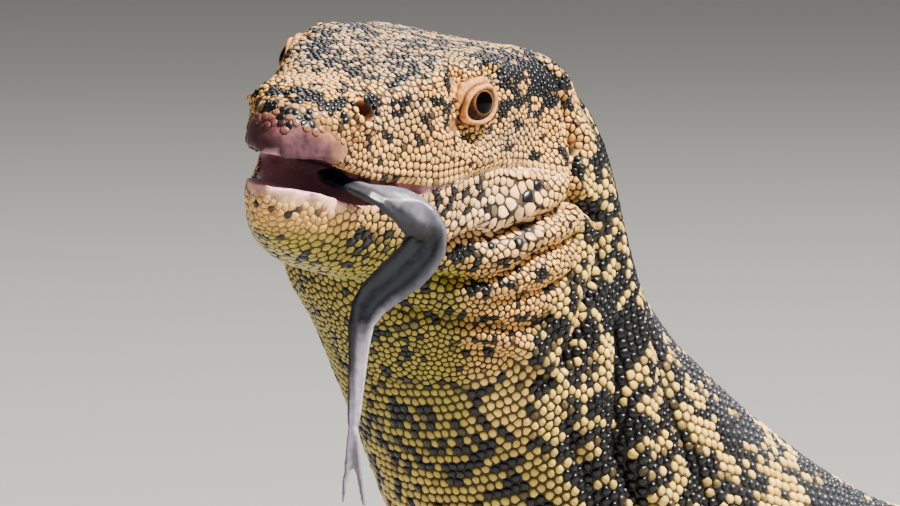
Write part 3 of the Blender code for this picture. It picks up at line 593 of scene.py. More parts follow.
def smooth_lips(mirrored):
    """1 on the scaleless front of the lips, fading to 0 around it."""
    upper, lower, half = lips_beside(mirrored)
    ahead = mirrored[:, 0] + 2.2 * grain(mirrored * MM, 5.0)
    wobble = grain(mirrored * MM, 3.0)
    above = mirrored[:, 2] - upper + 1.0 * wobble
    below = lower - mirrored[:, 2] + 0.8 * wobble
    top = step(40, 47, ahead) * step(9.0, 5.0, above) * step(-3, -2, above)
    return np.maximum(top, step(30, 44, ahead) * step(4.8, 2.4, below) * step(-3, -2, below))


def deep_folds(where):
    """1 at the bottom of the neck's deepest folds, falling to 0 beside them."""
    found = np.zeros(len(where.points))
    for height, near, share in lines_felt(where, DEEP):
        found[near] = np.maximum(found[near], share)
    return found


def bare(where):
    """Where the skin has no scales: lids, nostrils, ears, the mouth and its smooth lips."""
    mirrored = both_sides(where.head)
    outside, above, far = lid_map(mirrored)
    lids = outside < LID_WIDTH[0] + LID_WIDTH[1] * above
    return ((lids & (far < 12)) | (nostril_ring(mirrored) < 1.3)
            | (distance(mirrored, EAR) < 2.6) | in_mouth(where.head)
            | (smooth_lips(mirrored) * where.skull > 0.5) | (deep_folds(where) > 0.78))


def faint(where):
    """1 where the scales of the chin and lips melt into each other, 0 elsewhere."""
    head = both_sides(where.head)
    return np.clip(patch(head, (49, 0, -26), (14, 15, 6))
                   + 0.8 * patch(head, (52, 4, -5), (9, 12, 5)), 0, 1) * where.skull


# Colours, as they look in daylight
def tone(red, green, blue):
    value = np.array((red, green, blue)) / 255.0
    return np.where(value <= 0.04045, value / 12.92, ((value + 0.055) / 1.055) ** 2.4)


YELLOW = tone(236, 196, 100)  # beads of the neck, and the spots of the body
STRAW = tone(230, 204, 150)  # belly
# dark olive standing for the painted shade of the throat's and chin's undersides, with a painted
# green reflection
SHADED_OLIVE = tone(160, 142, 44)  # throat and chin
ORANGE = tone(240, 178, 92)  # face
PEACH = tone(244, 202, 150)  # plates of the lower jaw
LID = tone(226, 152, 82)
ASH = tone(160, 144, 122)  # weathered scales of the crown and cheek
BLACK = tone(15, 15, 18)
SLATE = tone(50, 52, 58)  # dark scales of the back
CREAM = tone(236, 198, 172)  # edges of the lips
# pinks of the snout's front and lip edge, darkened as painted shade
SHADED_ROSE = tone(116, 64, 60)  # front of the snout
SHADED_MAUVE = tone(84, 50, 58)  # and the edge of its lip
GUM = tone(232, 168, 176)  # floor of the mouth
# dark red standing for the shade inside the mouth and in the groove between the lips: painted
# shade
MOUTH_SHADE = tone(52, 20, 24)
# dark brown inside the nostrils, deepened as painted shade of the pit
SHADED_BROWN = tone(84, 44, 24)  # inside the nostrils

LIP_PLATE = 0.25  # angle round the snout's tip that one lip plate takes
SPOT_ROW = 40.0  # millimetres from one row of eye-spots to the next
TAIL_RING = (46.0, 0.016)  # from one ring to the next, and how that grows

# Dark marks of the head: middle and reach ahead of, left of and above the eyes' middle, and
# how much darker (or, below zero, paler)
DARK_MARKS = (
    ((-22, 24.5, 6.5), (12, 8, 3.3), 0.58),  # streak from the eye over the temple
    ((-35, 26, 5.0), (9, 8, 3.6), 0.50),
    ((-25, 28, -0.5), (14, 8, 4.5), 0.24),
    ((9, 21, 0), (3.2, 6, 6), 0.40),  # before the eye
    ((24, 16.5, -2), (9, 8, 4), 0.14),
    ((32, 12.5, 1), (3, 6, 4), 0.40),  # behind the nostril
    ((46, 2, 0.8), (4.5, 8, 2.0), 0.65),  # top of the snout's tip
    ((44, 10, -3), (2.0, 4, 3.0), 0.35),  # before the nostril
    ((53, 0, -3), (4, 9, 2.2), 0.45),  # across its front
    ((3, 23.5, -21.5), (6, 6, 2.6), 0.40),  # below the corner of the lips
    ((26, 16, -28), (9, 9, 4), 0.22),
    ((-2, 22, -35), (14, 10, 4), 0.26),  # under the jaw
    ((8, 21.5, -13), (16, 8, 2.5), -0.12),
    ((-12, 27, -10), (14, 6, 3.5), -0.10),
    ((-12, 27, -3), (10, 8, 4.5), 0.11),  # behind the eye
    ((-10, 25, -25), (14, 9, 6), -0.12),
    ((42, 9, -26), (14, 16, 4), -0.20),
)


def mixed(first, second, share):
    """From the first colour to the second as the share rises from 0 to 1."""
    return blend(first, second, np.clip(share, 0, 1)[:, None])


def in_creases(where):
    """How deep in a crease of the head or neck each point lies, 0 to 1."""
    depth = np.zeros(len(where.points))
    for height, near, share in lines_felt(where, 0):
        depth[near] = np.maximum(depth[near], min(-height / 2.0, 1.0) * share)
    return depth


def body_darkness(where, normals, coarse, medium):
    """How likely a scale is to be dark, 0 to 1, from the neck to the tip of the tail; and
    how much it belongs to the belly."""
    run = where.run / MM
    height = np.sin(where.angle)
    dark = 0.41 + 0.09 * step(-0.8, -0.2, height) + 0.05 * step(-0.2, 0.4, height)
    dark = blend(dark, 0.80, step(0.35, 0.68, height))
    # more dark scales behind the neck's deep fold: partly their own pattern, partly a painted
    # shadow
    dark = dark + 0.24 * patch(neck_places(where.points), (66, 36, 235), (11, 16, 34))

    # the trunk: rows of yellow eye-spots over the back, bars on the belly
    row = run / SPOT_ROW
    across = row % 1.0 - 0.5
    around = where.angle * 2.1 + 0.5 * np.floor(row) + 0.25 * coarse
    beside = (around % 1.0 - 0.5) * where.size / MM / 2.1
    spot = np.hypot(across * SPOT_ROW, beside) + 2.2 * medium
    back = 0.92 - 0.95 * step(8.5, 6.5, spot) * step(1.4, 3.2, spot) - 0.10 * coarse
    bars = step(0.22, 0.10, np.abs(across) + 0.10 * (1 + height) + 0.05 * coarse)
    belly = 0.03 + 0.62 * bars * step(-1.0, -0.55, height)
    low = step(-0.25, -0.62, height + 0.10 * coarse + 0.16 * np.cos(row * 2 * math.pi))
    dark = blend(dark, blend(back, belly, low), step(2.7, 3.6, where.place))

    # the tail's rings
    tail_run = run - TAIL_STARTS
    band = tail_run / (TAIL_RING[0] + tail_run * TAIL_RING[1])
    ring = np.abs(band % 1.0 - 0.5) * 2 + 0.16 * coarse + 0.06 * medium
    tail = 0.10 + 0.86 * step(0.30, 0.52, ring) - 0.25 * step(-0.5, -0.9, height)
    dark = blend(dark, tail, step(HIPS_END, 10.2, where.place))
    return blend(dark, 0.80 - 0.10 * step(0.3, -0.5, normals[:, 2]), where.limb), low


def face_tone(head, crown, under, smooth, coarse, medium, fine):
    """Colours of the head's pale scales and of its bare lips."""
    ahead, side, high = head.T
    weathered = (0.60 * crown + 0.75 * patch(head, (-14, 27, -8), (12, 6, 4))
                 + 0.50 * patch(head, (24, 16, -2), (12, 8, 5)) + 0.22 * coarse)
    colour = ORANGE
    for other, share in (
            (ASH, weathered),
            (PEACH, 1.1 * patch(head, (-14, 26, -25), (20, 10, 9))),
            # painted shade and green reflection under the chin and jaw
            (SHADED_OLIVE, (step(-25, -33, high) * step(0, 20, ahead) + step(-31, -38, high)) * under),
            # the snout's front and the band above the lip: pink darkened as painted shade
            (SHADED_ROSE, 1.4 * patch(head, (54, 0, -9), (12, 14, 7))),
            (SHADED_MAUVE, smooth * step(-4, -10, high) * step(-16, -14, high)),
            (CREAM, 0.6 * smooth * step(-16, -20, high))):
        colour = mixed(colour, other, share)
    across_lip = np.arctan2(side, ahead - 40.0) / LIP_PLATE + 0.3 * medium
    seam = hump(across_lip % 1.0 - 0.5, 0.0, 0.10) + 0.6 * hump(high, -10.5, 0.35)
    return colour * (1 + (0.30 * fine + 0.30 * medium - 0.4 * seam) * smooth)[:, None]


def markings(where, normals, chance):
    """The animal's colours at points on its surface; chance, from -0.5 to 0.5, varies scale
    by scale."""
    points = where.points
    head = both_sides(where.head)
    high = head[:, 2]
    height = np.sin(where.angle)
    coarse, medium, fine = grain(points, 9.0), grain(points, 4.2, 7.0), grain(points, 2.6, 3.0)
    crease = in_creases(where)
    trunk = step(2.7, 3.6, where.place)
    dark, low = body_darkness(where, normals, coarse, medium)
    loose = 1 - 0.35 * trunk * (1 - where.limb)
    mottled = (0.33 + 0.11 * trunk) * medium + (0.60 - 0.24 * trunk) * chance
    # more dark scales deep in the creases, partly their own pattern and partly painted shade
    night = step(0.47, 0.58, dark + mottled * loose + 0.18 * coarse + 0.30 * crease)
    under = np.maximum(step(29, 20, head[:, 1]), step(-70, -90, high))
    # the neck's underside in dark olive: painted shade with a painted green reflection
    pale = mixed(YELLOW, SHADED_OLIVE, step(-0.25, -0.8, height) * step(3.2, 1.6, where.place) * under)
    pale = mixed(pale, STRAW, low * trunk * 0.8)
    pale = mixed(pale, YELLOW * 0.72, where.limb * 0.6)
    nape = step(0.35, 0.68, height) * step(1.6, 2.4, where.place)
    ink = mixed(BLACK, SLATE, 0.85 * np.maximum(nape, trunk))

    # the head
    crown = step(0.60, 0.88, normals @ HEAD_AXES[2]) * step(2.0, 5.0, high)
    # more dark scales deep in the head's creases, partly their own pattern and partly painted
    # shade
    face = 0.27 + 0.23 * crown + 0.25 * crease
    for middle, reach, amount in DARK_MARKS:
        face += amount * patch(head, middle, reach)
    face += (0.36 + 0.08 * crown) * fine + 0.20 * medium + (0.36 + 0.14 * crown) * chance
    smooth = smooth_lips(head)
    pale_face = face_tone(head, crown, under, smooth, coarse, medium, fine)
    pale = mixed(pale, pale_face, where.skull)
    ink = mixed(ink, mixed(BLACK, SLATE, crown * 0.25), where.skull)
    night = blend(night, step(0.45, 0.56, face) * (1 - smooth), where.skull)
    vary = 0.36 + 0.40 * crown * where.skull
    # painted shade with some dirt: colours darker deep in the creases
    shade = (1.0 + vary * chance + 0.12 * fine) * (1 - 0.55 * crease)
    return blend(pale, ink, night[:, None]) * shade[:, None]


def paint(piece, colours):
    """Writes the markings onto a piece, for its material to read."""
    layer = piece.data.attributes.new("markings", "FLOAT_COLOR", "POINT")
    values = np.ones((len(colours), 4), np.float32)
    values[:, :3] = np.clip(colours, 0.001, 1.0)
    layer.data.foreach_set("color", values.ravel())


def painted_finish(name, roughness, dirt_size, bump_size, bump_height, wet=0.0, glint=0.5):
    """The markings with fine grime in them, on a faintly grained surface."""
    finish = bpy.data.materials.new(name)
    finish.use_nodes = True
    tree = finish.node_tree
    shader = tree.nodes["Principled BSDF"]

    def node(kind, **settings):
        made = tree.nodes.new("ShaderNode" + kind)
        for setting, value in settings.items():
            made.inputs[setting.replace("_", " ")].default_value = value
        return made

    def cloud(scale, detail):
        """Noise that stays with the piece as it moves."""
        texture = node("TexNoise", Scale=scale, Detail=detail)
        tree.links.new(node("TexCoord").outputs["Object"], texture.inputs["Vector"])
        return texture.outputs["Fac"]

    def spread(source, low, high):
        """A value between low and high in step with a cloud's middle tones."""
        ramp = node("MapRange", From_Min=0.30, From_Max=0.70, To_Min=low, To_Max=high)
        tree.links.new(source, ramp.inputs["Value"])
        return ramp.outputs["Result"]

    marks = node("Attribute")
    marks.attribute_name = "markings"
    tinted = node("VectorMath")
    tinted.operation = "SCALE"
    dirt_and_edge_shade = cloud(dirt_size, 3.0)
    bump = node("Bump", Strength=0.6, Distance=bump_height)
    for source, target in (
            (marks.outputs["Color"], tinted.inputs[0]),
            (spread(dirt_and_edge_shade, 0.76, 1.12), tinted.inputs["Scale"]),
            (tinted.outputs["Vector"], shader.inputs["Base Color"]),
            (cloud(bump_size, 4.0), bump.inputs["Height"]),
            (bump.outputs["Normal"], shader.inputs["Normal"]),
            (spread(dirt_and_edge_shade, roughness - 0.07, roughness + 0.09), shader.inputs["Roughness"])):
        tree.links.new(source, target)
    shader.inputs["Specular IOR Level"].default_value = glint
    shader.inputs["Coat Weight"].default_value = wet
    shader.inputs["Coat Roughness"].default_value = 0.12
    return finish


def skin_colours(where, normals):
    """The markings, darkened between the scales as painted shade, and full where the skin is
    bare.
    """
    head = both_sides(where.head)
    outside, above, far = lid_map(head)
    colours = markings(where, normals, np.zeros(len(normals)))
    # painted shade: the skin between the scales near black, paler where the scales melt together
    between_scales = mixed(BLACK * 0.6, colours, 0.04 + 0.70 * faint(where))
    colours = np.where(bare(where)[:, None], colours, between_scales)

    # painted shade in the creases of the lids and the grooves of their pleats; the stripes are
    # their own pattern
    folds = np.maximum(hump(outside, 1.7, 0.30), hump(outside, 3.4 + above, 0.40))
    stripes = step(0.1, 0.5, grain(where.points, 1.3, 5.0)) * hump(outside, 3.6, 0.7)
    pleats = hump(outside, *PLEATS) * np.maximum(np.cos(outside * 2 * math.pi / PLEAT), 0) ** 3
    lid = mixed(LID * (0.84 + 0.30 * grain(where.points, 0.9))[:, None], BLACK,
                0.75 * folds + 0.6 * stripes + 0.30 * pleats)
    reach = 2.6 + 2.6 * above
    upper, lower, half = lips_beside(head)
    edge = np.minimum(np.abs(head[:, 2] - upper), np.abs(head[:, 2] - lower))
    rim = step(1.5, 0.5, edge) * step(-37, -34, head[:, 0]) * where.skull
    # inside the mouth: the pink floor, and painted shade above it
    gums = mixed(MOUTH_SHADE, GUM, step(-16.0, -20.5, head[:, 2]) * step(4, 22, head[:, 0])
                 + 0.5 * step(50, 56, head[:, 0]))
    # painted shade at the bottom of the neck's deepest folds and in the ear's opening
    shaded_hollows = np.maximum(step(0.6, 0.8, deep_folds(where)),
                        step(2.8, 1.8, distance(head, EAR)))
    for other, share in (
            (lid, step(reach, reach - 0.8, outside) * (far < 12.5)),
            # painted shade where the skin tucks in behind the eyeball
            (BLACK, step(0.30, -0.1, outside) * (far < 9)),
            (CREAM, rim * step(46, 40, head[:, 0])),
            # painted shade in the groove where the lips meet
            (MOUTH_SHADE, felt(head, LIP_LINE, 0.45) * where.skull),
            (gums, in_mouth(where.head) * where.skull),
            (BLACK * 0.5, shaded_hollows),
            # painted shade inside the nostril's pit
            (SHADED_BROWN, step(1.12, 0.85, nostril_ring(head)))):
        colours = mixed(colours, other, share)
    return colours


def fitted(piece, finish, slot, *replaced):
    """Gives a piece its finish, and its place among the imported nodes."""
    piece.data.materials.clear()
    piece.data.materials.append(finish)
    if replaced:
        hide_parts(*replaced)
    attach(piece, "root")


normals = normals_of(skin)
where = Where(places_of(skin))
inset = places_of(skin) - normals * (skin_depth(where) + SWELL)[:, None]
move_to(skin, sculpted(inset, normals))
skin.data.shade_smooth()
skin_points = places_of(skin)
paint(skin, skin_colours(Where(skin_points), normals_of(skin)))
fitted(skin, painted_finish("skin", 0.56, 1200.0, 1100.0, 0.12 * MM, glint=0.3), "hide", *FLESH)

# ==== The coat =============================================================================
# Thousands of small hard scales set in the skin side by side: round beads on the neck, small
# plates on the face, oblongs on the belly and tail.  Each is a low dome of cast resin whose
# foot is sunk into the skin, and whose outline is squeezed by its neighbours.

rng = np.random.default_rng(11)
skin.data.calc_loop_triangles()
corners = rows_of(skin.data.loop_triangles, "vertices", int)
surface = BVHTree.FromPolygons(skin_points.tolist(), corners.tolist())

# Width and length of the scales in millimetres at places along the spine, on the back and
# on the throat and belly
SCALE_PLACES = (0.0, 1.0, 2.0, 3.0, 4.5, 8.0, 9.5, 13.0, 17.0, 19.0)
BACK_WIDTH = (1.9, 2.0, 2.3, 2.7, 2.9, 2.9, 2.9, 2.5, 1.9, 1.5)
BACK_LENGTH = (2.1, 2.2, 2.5, 2.9, 3.1, 3.2, 3.6, 4.0, 3.4, 2.6)
BELLY_WIDTH = (1.9, 1.9, 2.1, 2.5, 3.6, 3.8, 3.2, 2.7, 2.0, 1.5)
BELLY_LENGTH = (2.0, 2.0, 2.3, 2.9, 4.4, 4.6, 4.2, 4.2, 3.4, 2.6)
LEG_SCALE = (2.3, 2.5)
FOOT_SCALE = (1.7, 1.9)
# Sizes on the head: a middle ahead of, left of and above the eyes' middle, the reach of the
# patch, and the size of its scales
HEAD_SCALE = 1.35
HEAD_SHARE = 0.35  # weight of that size beside the patches
HEAD_PATCHES = (
    ((-20, 29, -23), 9.0, 3.7),  # big plates at the back of the lower jaw
    ((-4, 24, -24), 10.0, 2.5),
    ((-34, 32, -22), 7.0, 2.0),
    ((18, 18, -30), 14.0, 2.3),
    ((0, 0, -45), 22.0, 2.0),  # under the jaw
    ((36, 8, -34), 14.0, 2.5),  # chin
    ((54, 0, -12), 10.0, 1.8),  # tip of the snout
    ((24, 18, -11), 11.0, 1.75),  # beside the snout
    ((-1, 22, 0), 10.0, 1.0),  # round the eye
    ((-4, 14, 9.5), 8.0, 1.5),  # over the eye
    ((-25, 27, -3), 12.0, 1.25),  # temple
    ((-42, 26, 0), 14.0, 1.6),
    ((40, 6, 1), 9.0, 1.35),
)
HEAD_LENGTH = 1.06  # of a scale, for its width
GRID_CELL = 4 * MM  # more than any two neighbouring scales are apart
CELLS_BESIDE = list(itertools.product((-1, 0, 1), repeat=3))
ROW_PITCH = 0.90  # of a scale's length
UNEVEN = (0.06, 0.08)  # of a row's scales, round the body and along it


def spine_sizes(place, height):
    """Width and length of the scales at places along the spine, in millimetres."""
    belly = step(0.25, -0.45, height)
    back_w, belly_w, back_l, belly_l = (
        np.interp(place, SCALE_PLACES, row)
        for row in (BACK_WIDTH, BELLY_WIDTH, BACK_LENGTH, BELLY_LENGTH))
    return blend(back_w, belly_w, belly), blend(back_l, belly_l, belly)


def leg_sizes(place, height):
    """The same along a leg."""
    share = np.full(len(height), step(3.6, 4.6, place))
    return [blend(leg, foot, share) for leg, foot in zip(LEG_SCALE, FOOT_SCALE)]


def scale_size(where):
    """Width and length of a scale at each point, in metres."""
    mirrored = both_sides(where.head)
    total = np.full(len(mirrored), HEAD_SHARE)
    face = np.full(len(mirrored), HEAD_SHARE * HEAD_SCALE)
    for middle, reach, size in HEAD_PATCHES:
        share = np.exp(-(distance(mirrored, np.array(middle)) / reach) ** 2 * 2)
        total += share
        face += share * size
    face /= total
    sizes = []
    for size, leg, foot, on_face in zip(spine_sizes(where.place, np.sin(where.angle)),
                                        LEG_SCALE, FOOT_SCALE, (face, face * HEAD_LENGTH)):
        size = blend(blend(size, leg, where.limb), foot, where.foot)
        sizes.append(blend(size, on_face, where.skull) * MM)
    return sizes


def breadth(where):
    """Mean of a scale's width and length."""
    return np.sqrt(np.prod(scale_size(where), axis=0))


def apart(points, room):
    """Picks points in turn, leaving out any that is too close to one picked before it."""
    grid, chosen = {}, []
    for number, (point, space) in enumerate(zip(points.tolist(), room.tolist())):
        i, j, k = (int(math.floor(value / GRID_CELL)) for value in point)
        beside = (found for a, b, c in CELLS_BESIDE
                  for found in grid.get((i + a, j + b, k + c), ()))
        if all((point[0] - x) ** 2 + (point[1] - y) ** 2 + (point[2] - z) ** 2
               >= ((space + taken) / 2) ** 2 for (x, y, z), taken in beside):
            grid.setdefault((i, j, k), []).append((point, space))
            chosen.append(number)
    return chosen


class Scales:
    """The roots of the scales found so far, and the way each one points."""

    def __init__(self):
        self.points = np.zeros((0, 3))
        self.normals = np.zeros((0, 3))
        self.fixed = np.zeros(0, bool)

    def add(self, points, normals, spacing, fixed=False, crowding=1.0):
        """Adds new roots, but none closer to another than a share of its own size."""
        where = Where(points)
        room = breadth(where) * spacing
        keep = ~bare(where)
        if len(self.points):
            tree = self.tree()
            keep &= np.array([tree.find(point)[2] for point in points.tolist()]) > room
        keep = np.flatnonzero(keep)
        keep = keep[apart(points[keep], room[keep] * crowding)]
        self.points = np.concatenate((self.points, points[keep]))
        self.normals = np.concatenate((self.normals, normals[keep]))
        self.fixed = np.concatenate((self.fixed, np.full(len(keep), fixed)))

    def fill(self, region, count, spacing):
        """Tries random points spread evenly over the part of the skin where region is true."""
        a, b, c = (skin_points[corners[:, k]] for k in range(3))
        cross = np.cross(b - a, c - a)
        area = np.linalg.norm(cross, axis=1) * region(Where((a + b + c) / 3))
        picked = rng.choice(len(area), count, p=area / area.sum())
        s, t = rng.random(count), rng.random(count)
        over = s + t > 1
        s[over], t[over] = 1 - s[over], 1 - t[over]
        points = a[picked] + (b - a)[picked] * s[:, None] + (c - a)[picked] * t[:, None]
        self.add(points, unit(cross[picked]), spacing)

    def rings(self, line, start, end, sizes, far, spacing, keep=None):
        """Sets scales in rings round a line, each ring shifted by half a scale."""
        run = line.run[0] + start
        shifted = False
        turn = np.linspace(0, 2 * math.pi, 73)
        around = np.cos(turn)[:, None], np.sin(turn)[:, None]
        points, normals = [], []
        while run < end:
            middle, side, up = (between(run, line.run, values)
                                for values in (line.middle, line.side, line.up))
            wide, tall, place = (np.interp(run, line.run, values)
                                 for values in (line.wide, line.tall, line.places))
            side, up = unit(side) * wide, unit(up) * tall
            ring = around[0] * side + around[1] * up
            widths = sizes(place, np.sin(turn))[0] * MM
            length = sizes(place, np.ones(1))[1][0] * MM
            pace = np.linalg.norm(np.diff(ring, axis=0), axis=1) \
                / ((widths[1:] + widths[:-1]) / 2)
            count = np.concatenate(([0.0], np.cumsum(pace)))
            number = max(int(round(count[-1])), 5)
            spots = (np.arange(number) + (0.5 if shifted else 0.0)) / number * count[-1]
            angle = np.interp(spots, count, turn) \
                + rng.normal(0, UNEVEN[0], number) * widths[0] / wide
            ways = np.cos(angle)[:, None] * side + np.sin(angle)[:, None] * up
            flow = line.along[int(np.interp(run, line.run, np.arange(len(line.run))))]
            origins = middle + flow * rng.normal(0, UNEVEN[1], number)[:, None] * length
            for origin, way in zip(origins, ways):
                reach = np.linalg.norm(way)
                hit, normal, face, gap = surface.ray_cast(origin.tolist(),
                                                          (way / reach).tolist(), reach * far)
                if hit is not None:
                    points.append(hit[:])
                    normals.append(normal[:])
            run += length * ROW_PITCH
            shifted = not shifted
        points, normals = np.array(points), np.array(normals)
        if keep is not None:
            chosen = keep(Where(points))
            points, normals = points[chosen], normals[chosen]
        self.add(points, normals, spacing, True, 0.9)

    def along_lip(self, edge, drop, spacing):
        """Sets a row of scales along a lip, a set distance above or below its edge."""
        places = [(ahead, math.pi / 2) for ahead in np.arange(-36, 46, 0.4)]
        places += [(46.0, turn) for turn in np.linspace(math.pi / 2, 0, 60)]
        points, normals = [], []
        for hand in (1, -1):
            last = np.full(3, math.inf)
            for ahead, turn in places:
                out = np.array((math.cos(turn), hand * math.sin(turn), 0.0))
                height = np.interp(ahead + 10.0 * math.cos(turn), LIPS[:, 0], LIPS[:, edge])
                start = from_head(np.array((ahead, 0.0, height + drop)) + out * 60)
                hit, normal, face, gap = surface.ray_cast(start.tolist(),
                                                          (-out @ HEAD_AXES).tolist())
                if hit is not None and np.linalg.norm(np.array(hit) - last) > spacing * MM:
                    last = np.array(hit)
                    points.append(last)
                    normals.append(normal[:])
        self.add(np.array(points), np.array(normals), 0.8, False, 0.9)

    def tree(self):
        tree = KDTree(len(self.points))
        for number, point in enumerate(self.points.tolist()):
            tree.insert(point, number)
        tree.balance()
        return tree

    def near(self, count):
        """The nearest other scales of each one."""
        tree = self.tree()
        return np.array([[item[1] for item in tree.find_n(point, count + 1)[1:]]
                         for point in self.points.tolist()])

    def relax(self):
        """Lets the loosely placed scales push each other to even distances."""
        others = self.near(7)
        size = breadth(Where(self.points))
        away = self.points[:, None] - self.points[others]
        gap = np.linalg.norm(away, axis=2)
        room = (size[:, None] + size[others]) / 2 * 1.04
        push = np.clip(1 - gap / room, 0, 1)
        shift = (away / np.maximum(gap, 1e-9)[:, :, None] * (push * room)[:, :, None]).sum(1)
        for index in np.flatnonzero(~self.fixed & shift.any(1)):
            target = (self.points[index] + shift[index] * 0.45).tolist()
            self.points[index], self.normals[index] = surface.find_nearest(target)[:2]


scales = Scales()
for edge, drop, spacing in ((1, 0.9, 1.7), (1, 2.6, 1.8), (1, 4.3, 1.8),
                            (2, -1.1, 2.0), (2, -3.1, 2.3)):
    scales.along_lip(edge, drop, spacing)
scales.fill(lambda where: where.skull > 0.5, 60000, 0.92)
for number in range(3):
    scales.relax()
scales.rings(spine, 0.0, spine.run[-1] - 2 * MM, spine_sizes, 1.45, 0.72,
             lambda where: (where.skull < 0.5) & (where.limb < 0.6))
for leg in legs:
    scales.rings(leg, 0.15 * leg.run[-1], leg.run[-1] * 0.93, leg_sizes, 1.6, 0.75)
scales.fill(lambda where: np.ones(len(where.place), bool), 200000, 0.80)
scales.fill(lambda where: (where.place < NECK_ENDS) | (where.foot > 0.1), 200000, 0.76)
dressed = ~bare(Where(scales.points))
scales.points, scales.normals = scales.points[dressed], scales.normals[dressed]

# Rings of a scale from its foot to its middle: how far out, how high as a share of the coat's
# depth, and how much of its colour shows, the foot and edge darkened as painted shade between
# the scales; the sides of its outline, and how far its corners may reach
PLATE = (((1.0, -0.45, 0.05), (0.94, 0.46, 0.26), (0.78, 0.90, 0.95), (0.0, 1.0, 1.0)), 8, 1.55)
BEAD = (((1.0, -0.45, 0.05), (0.93, 0.30, 0.36), (0.66, 0.84, 0.97), (0.0, 1.0, 1.0)), 8, 1.32)
LOW_BEAD = (((1.0, -0.40, 0.20), (0.80, 0.62, 1.0), (0.0, 1.0, 1.0)), 6, 1.32)
GAP = 0.15 * MM  # between neighbouring scales
SMALLEST = 0.25  # of the half size a squeezed scale would have
TALL = (0.86, 0.26)  # height over the skin, and how much it varies
MELTED = 0.55  # how much of it is lost where scales melt together
COAT_PIECES = 9
BAKE_PATCH = 0.003
# painted shade: a plate's corners, where it meets its neighbours, are darker
DARK_CORNERS = (1.03, 1.16)  # reach over the mean where a plate's corners darken


def flow_at(where):
    """The way the scales lie: towards the tail, and down the legs."""
    flow = between(where.place, spine.places, spine.along)
    for number, leg in enumerate(legs):
        mine = (where.leg == number) & (where.limb > 0.5)
        flow[mine] = between(where.limb_run[mine], leg.places, leg.along)
        toes = mine & (where.limb_run == leg.places[-1])
        flow[toes] = unit(where.points[toes] - leg.middle[-1])
    return blend(flow, -HEAD_AXES[0], where.skull[:, None])


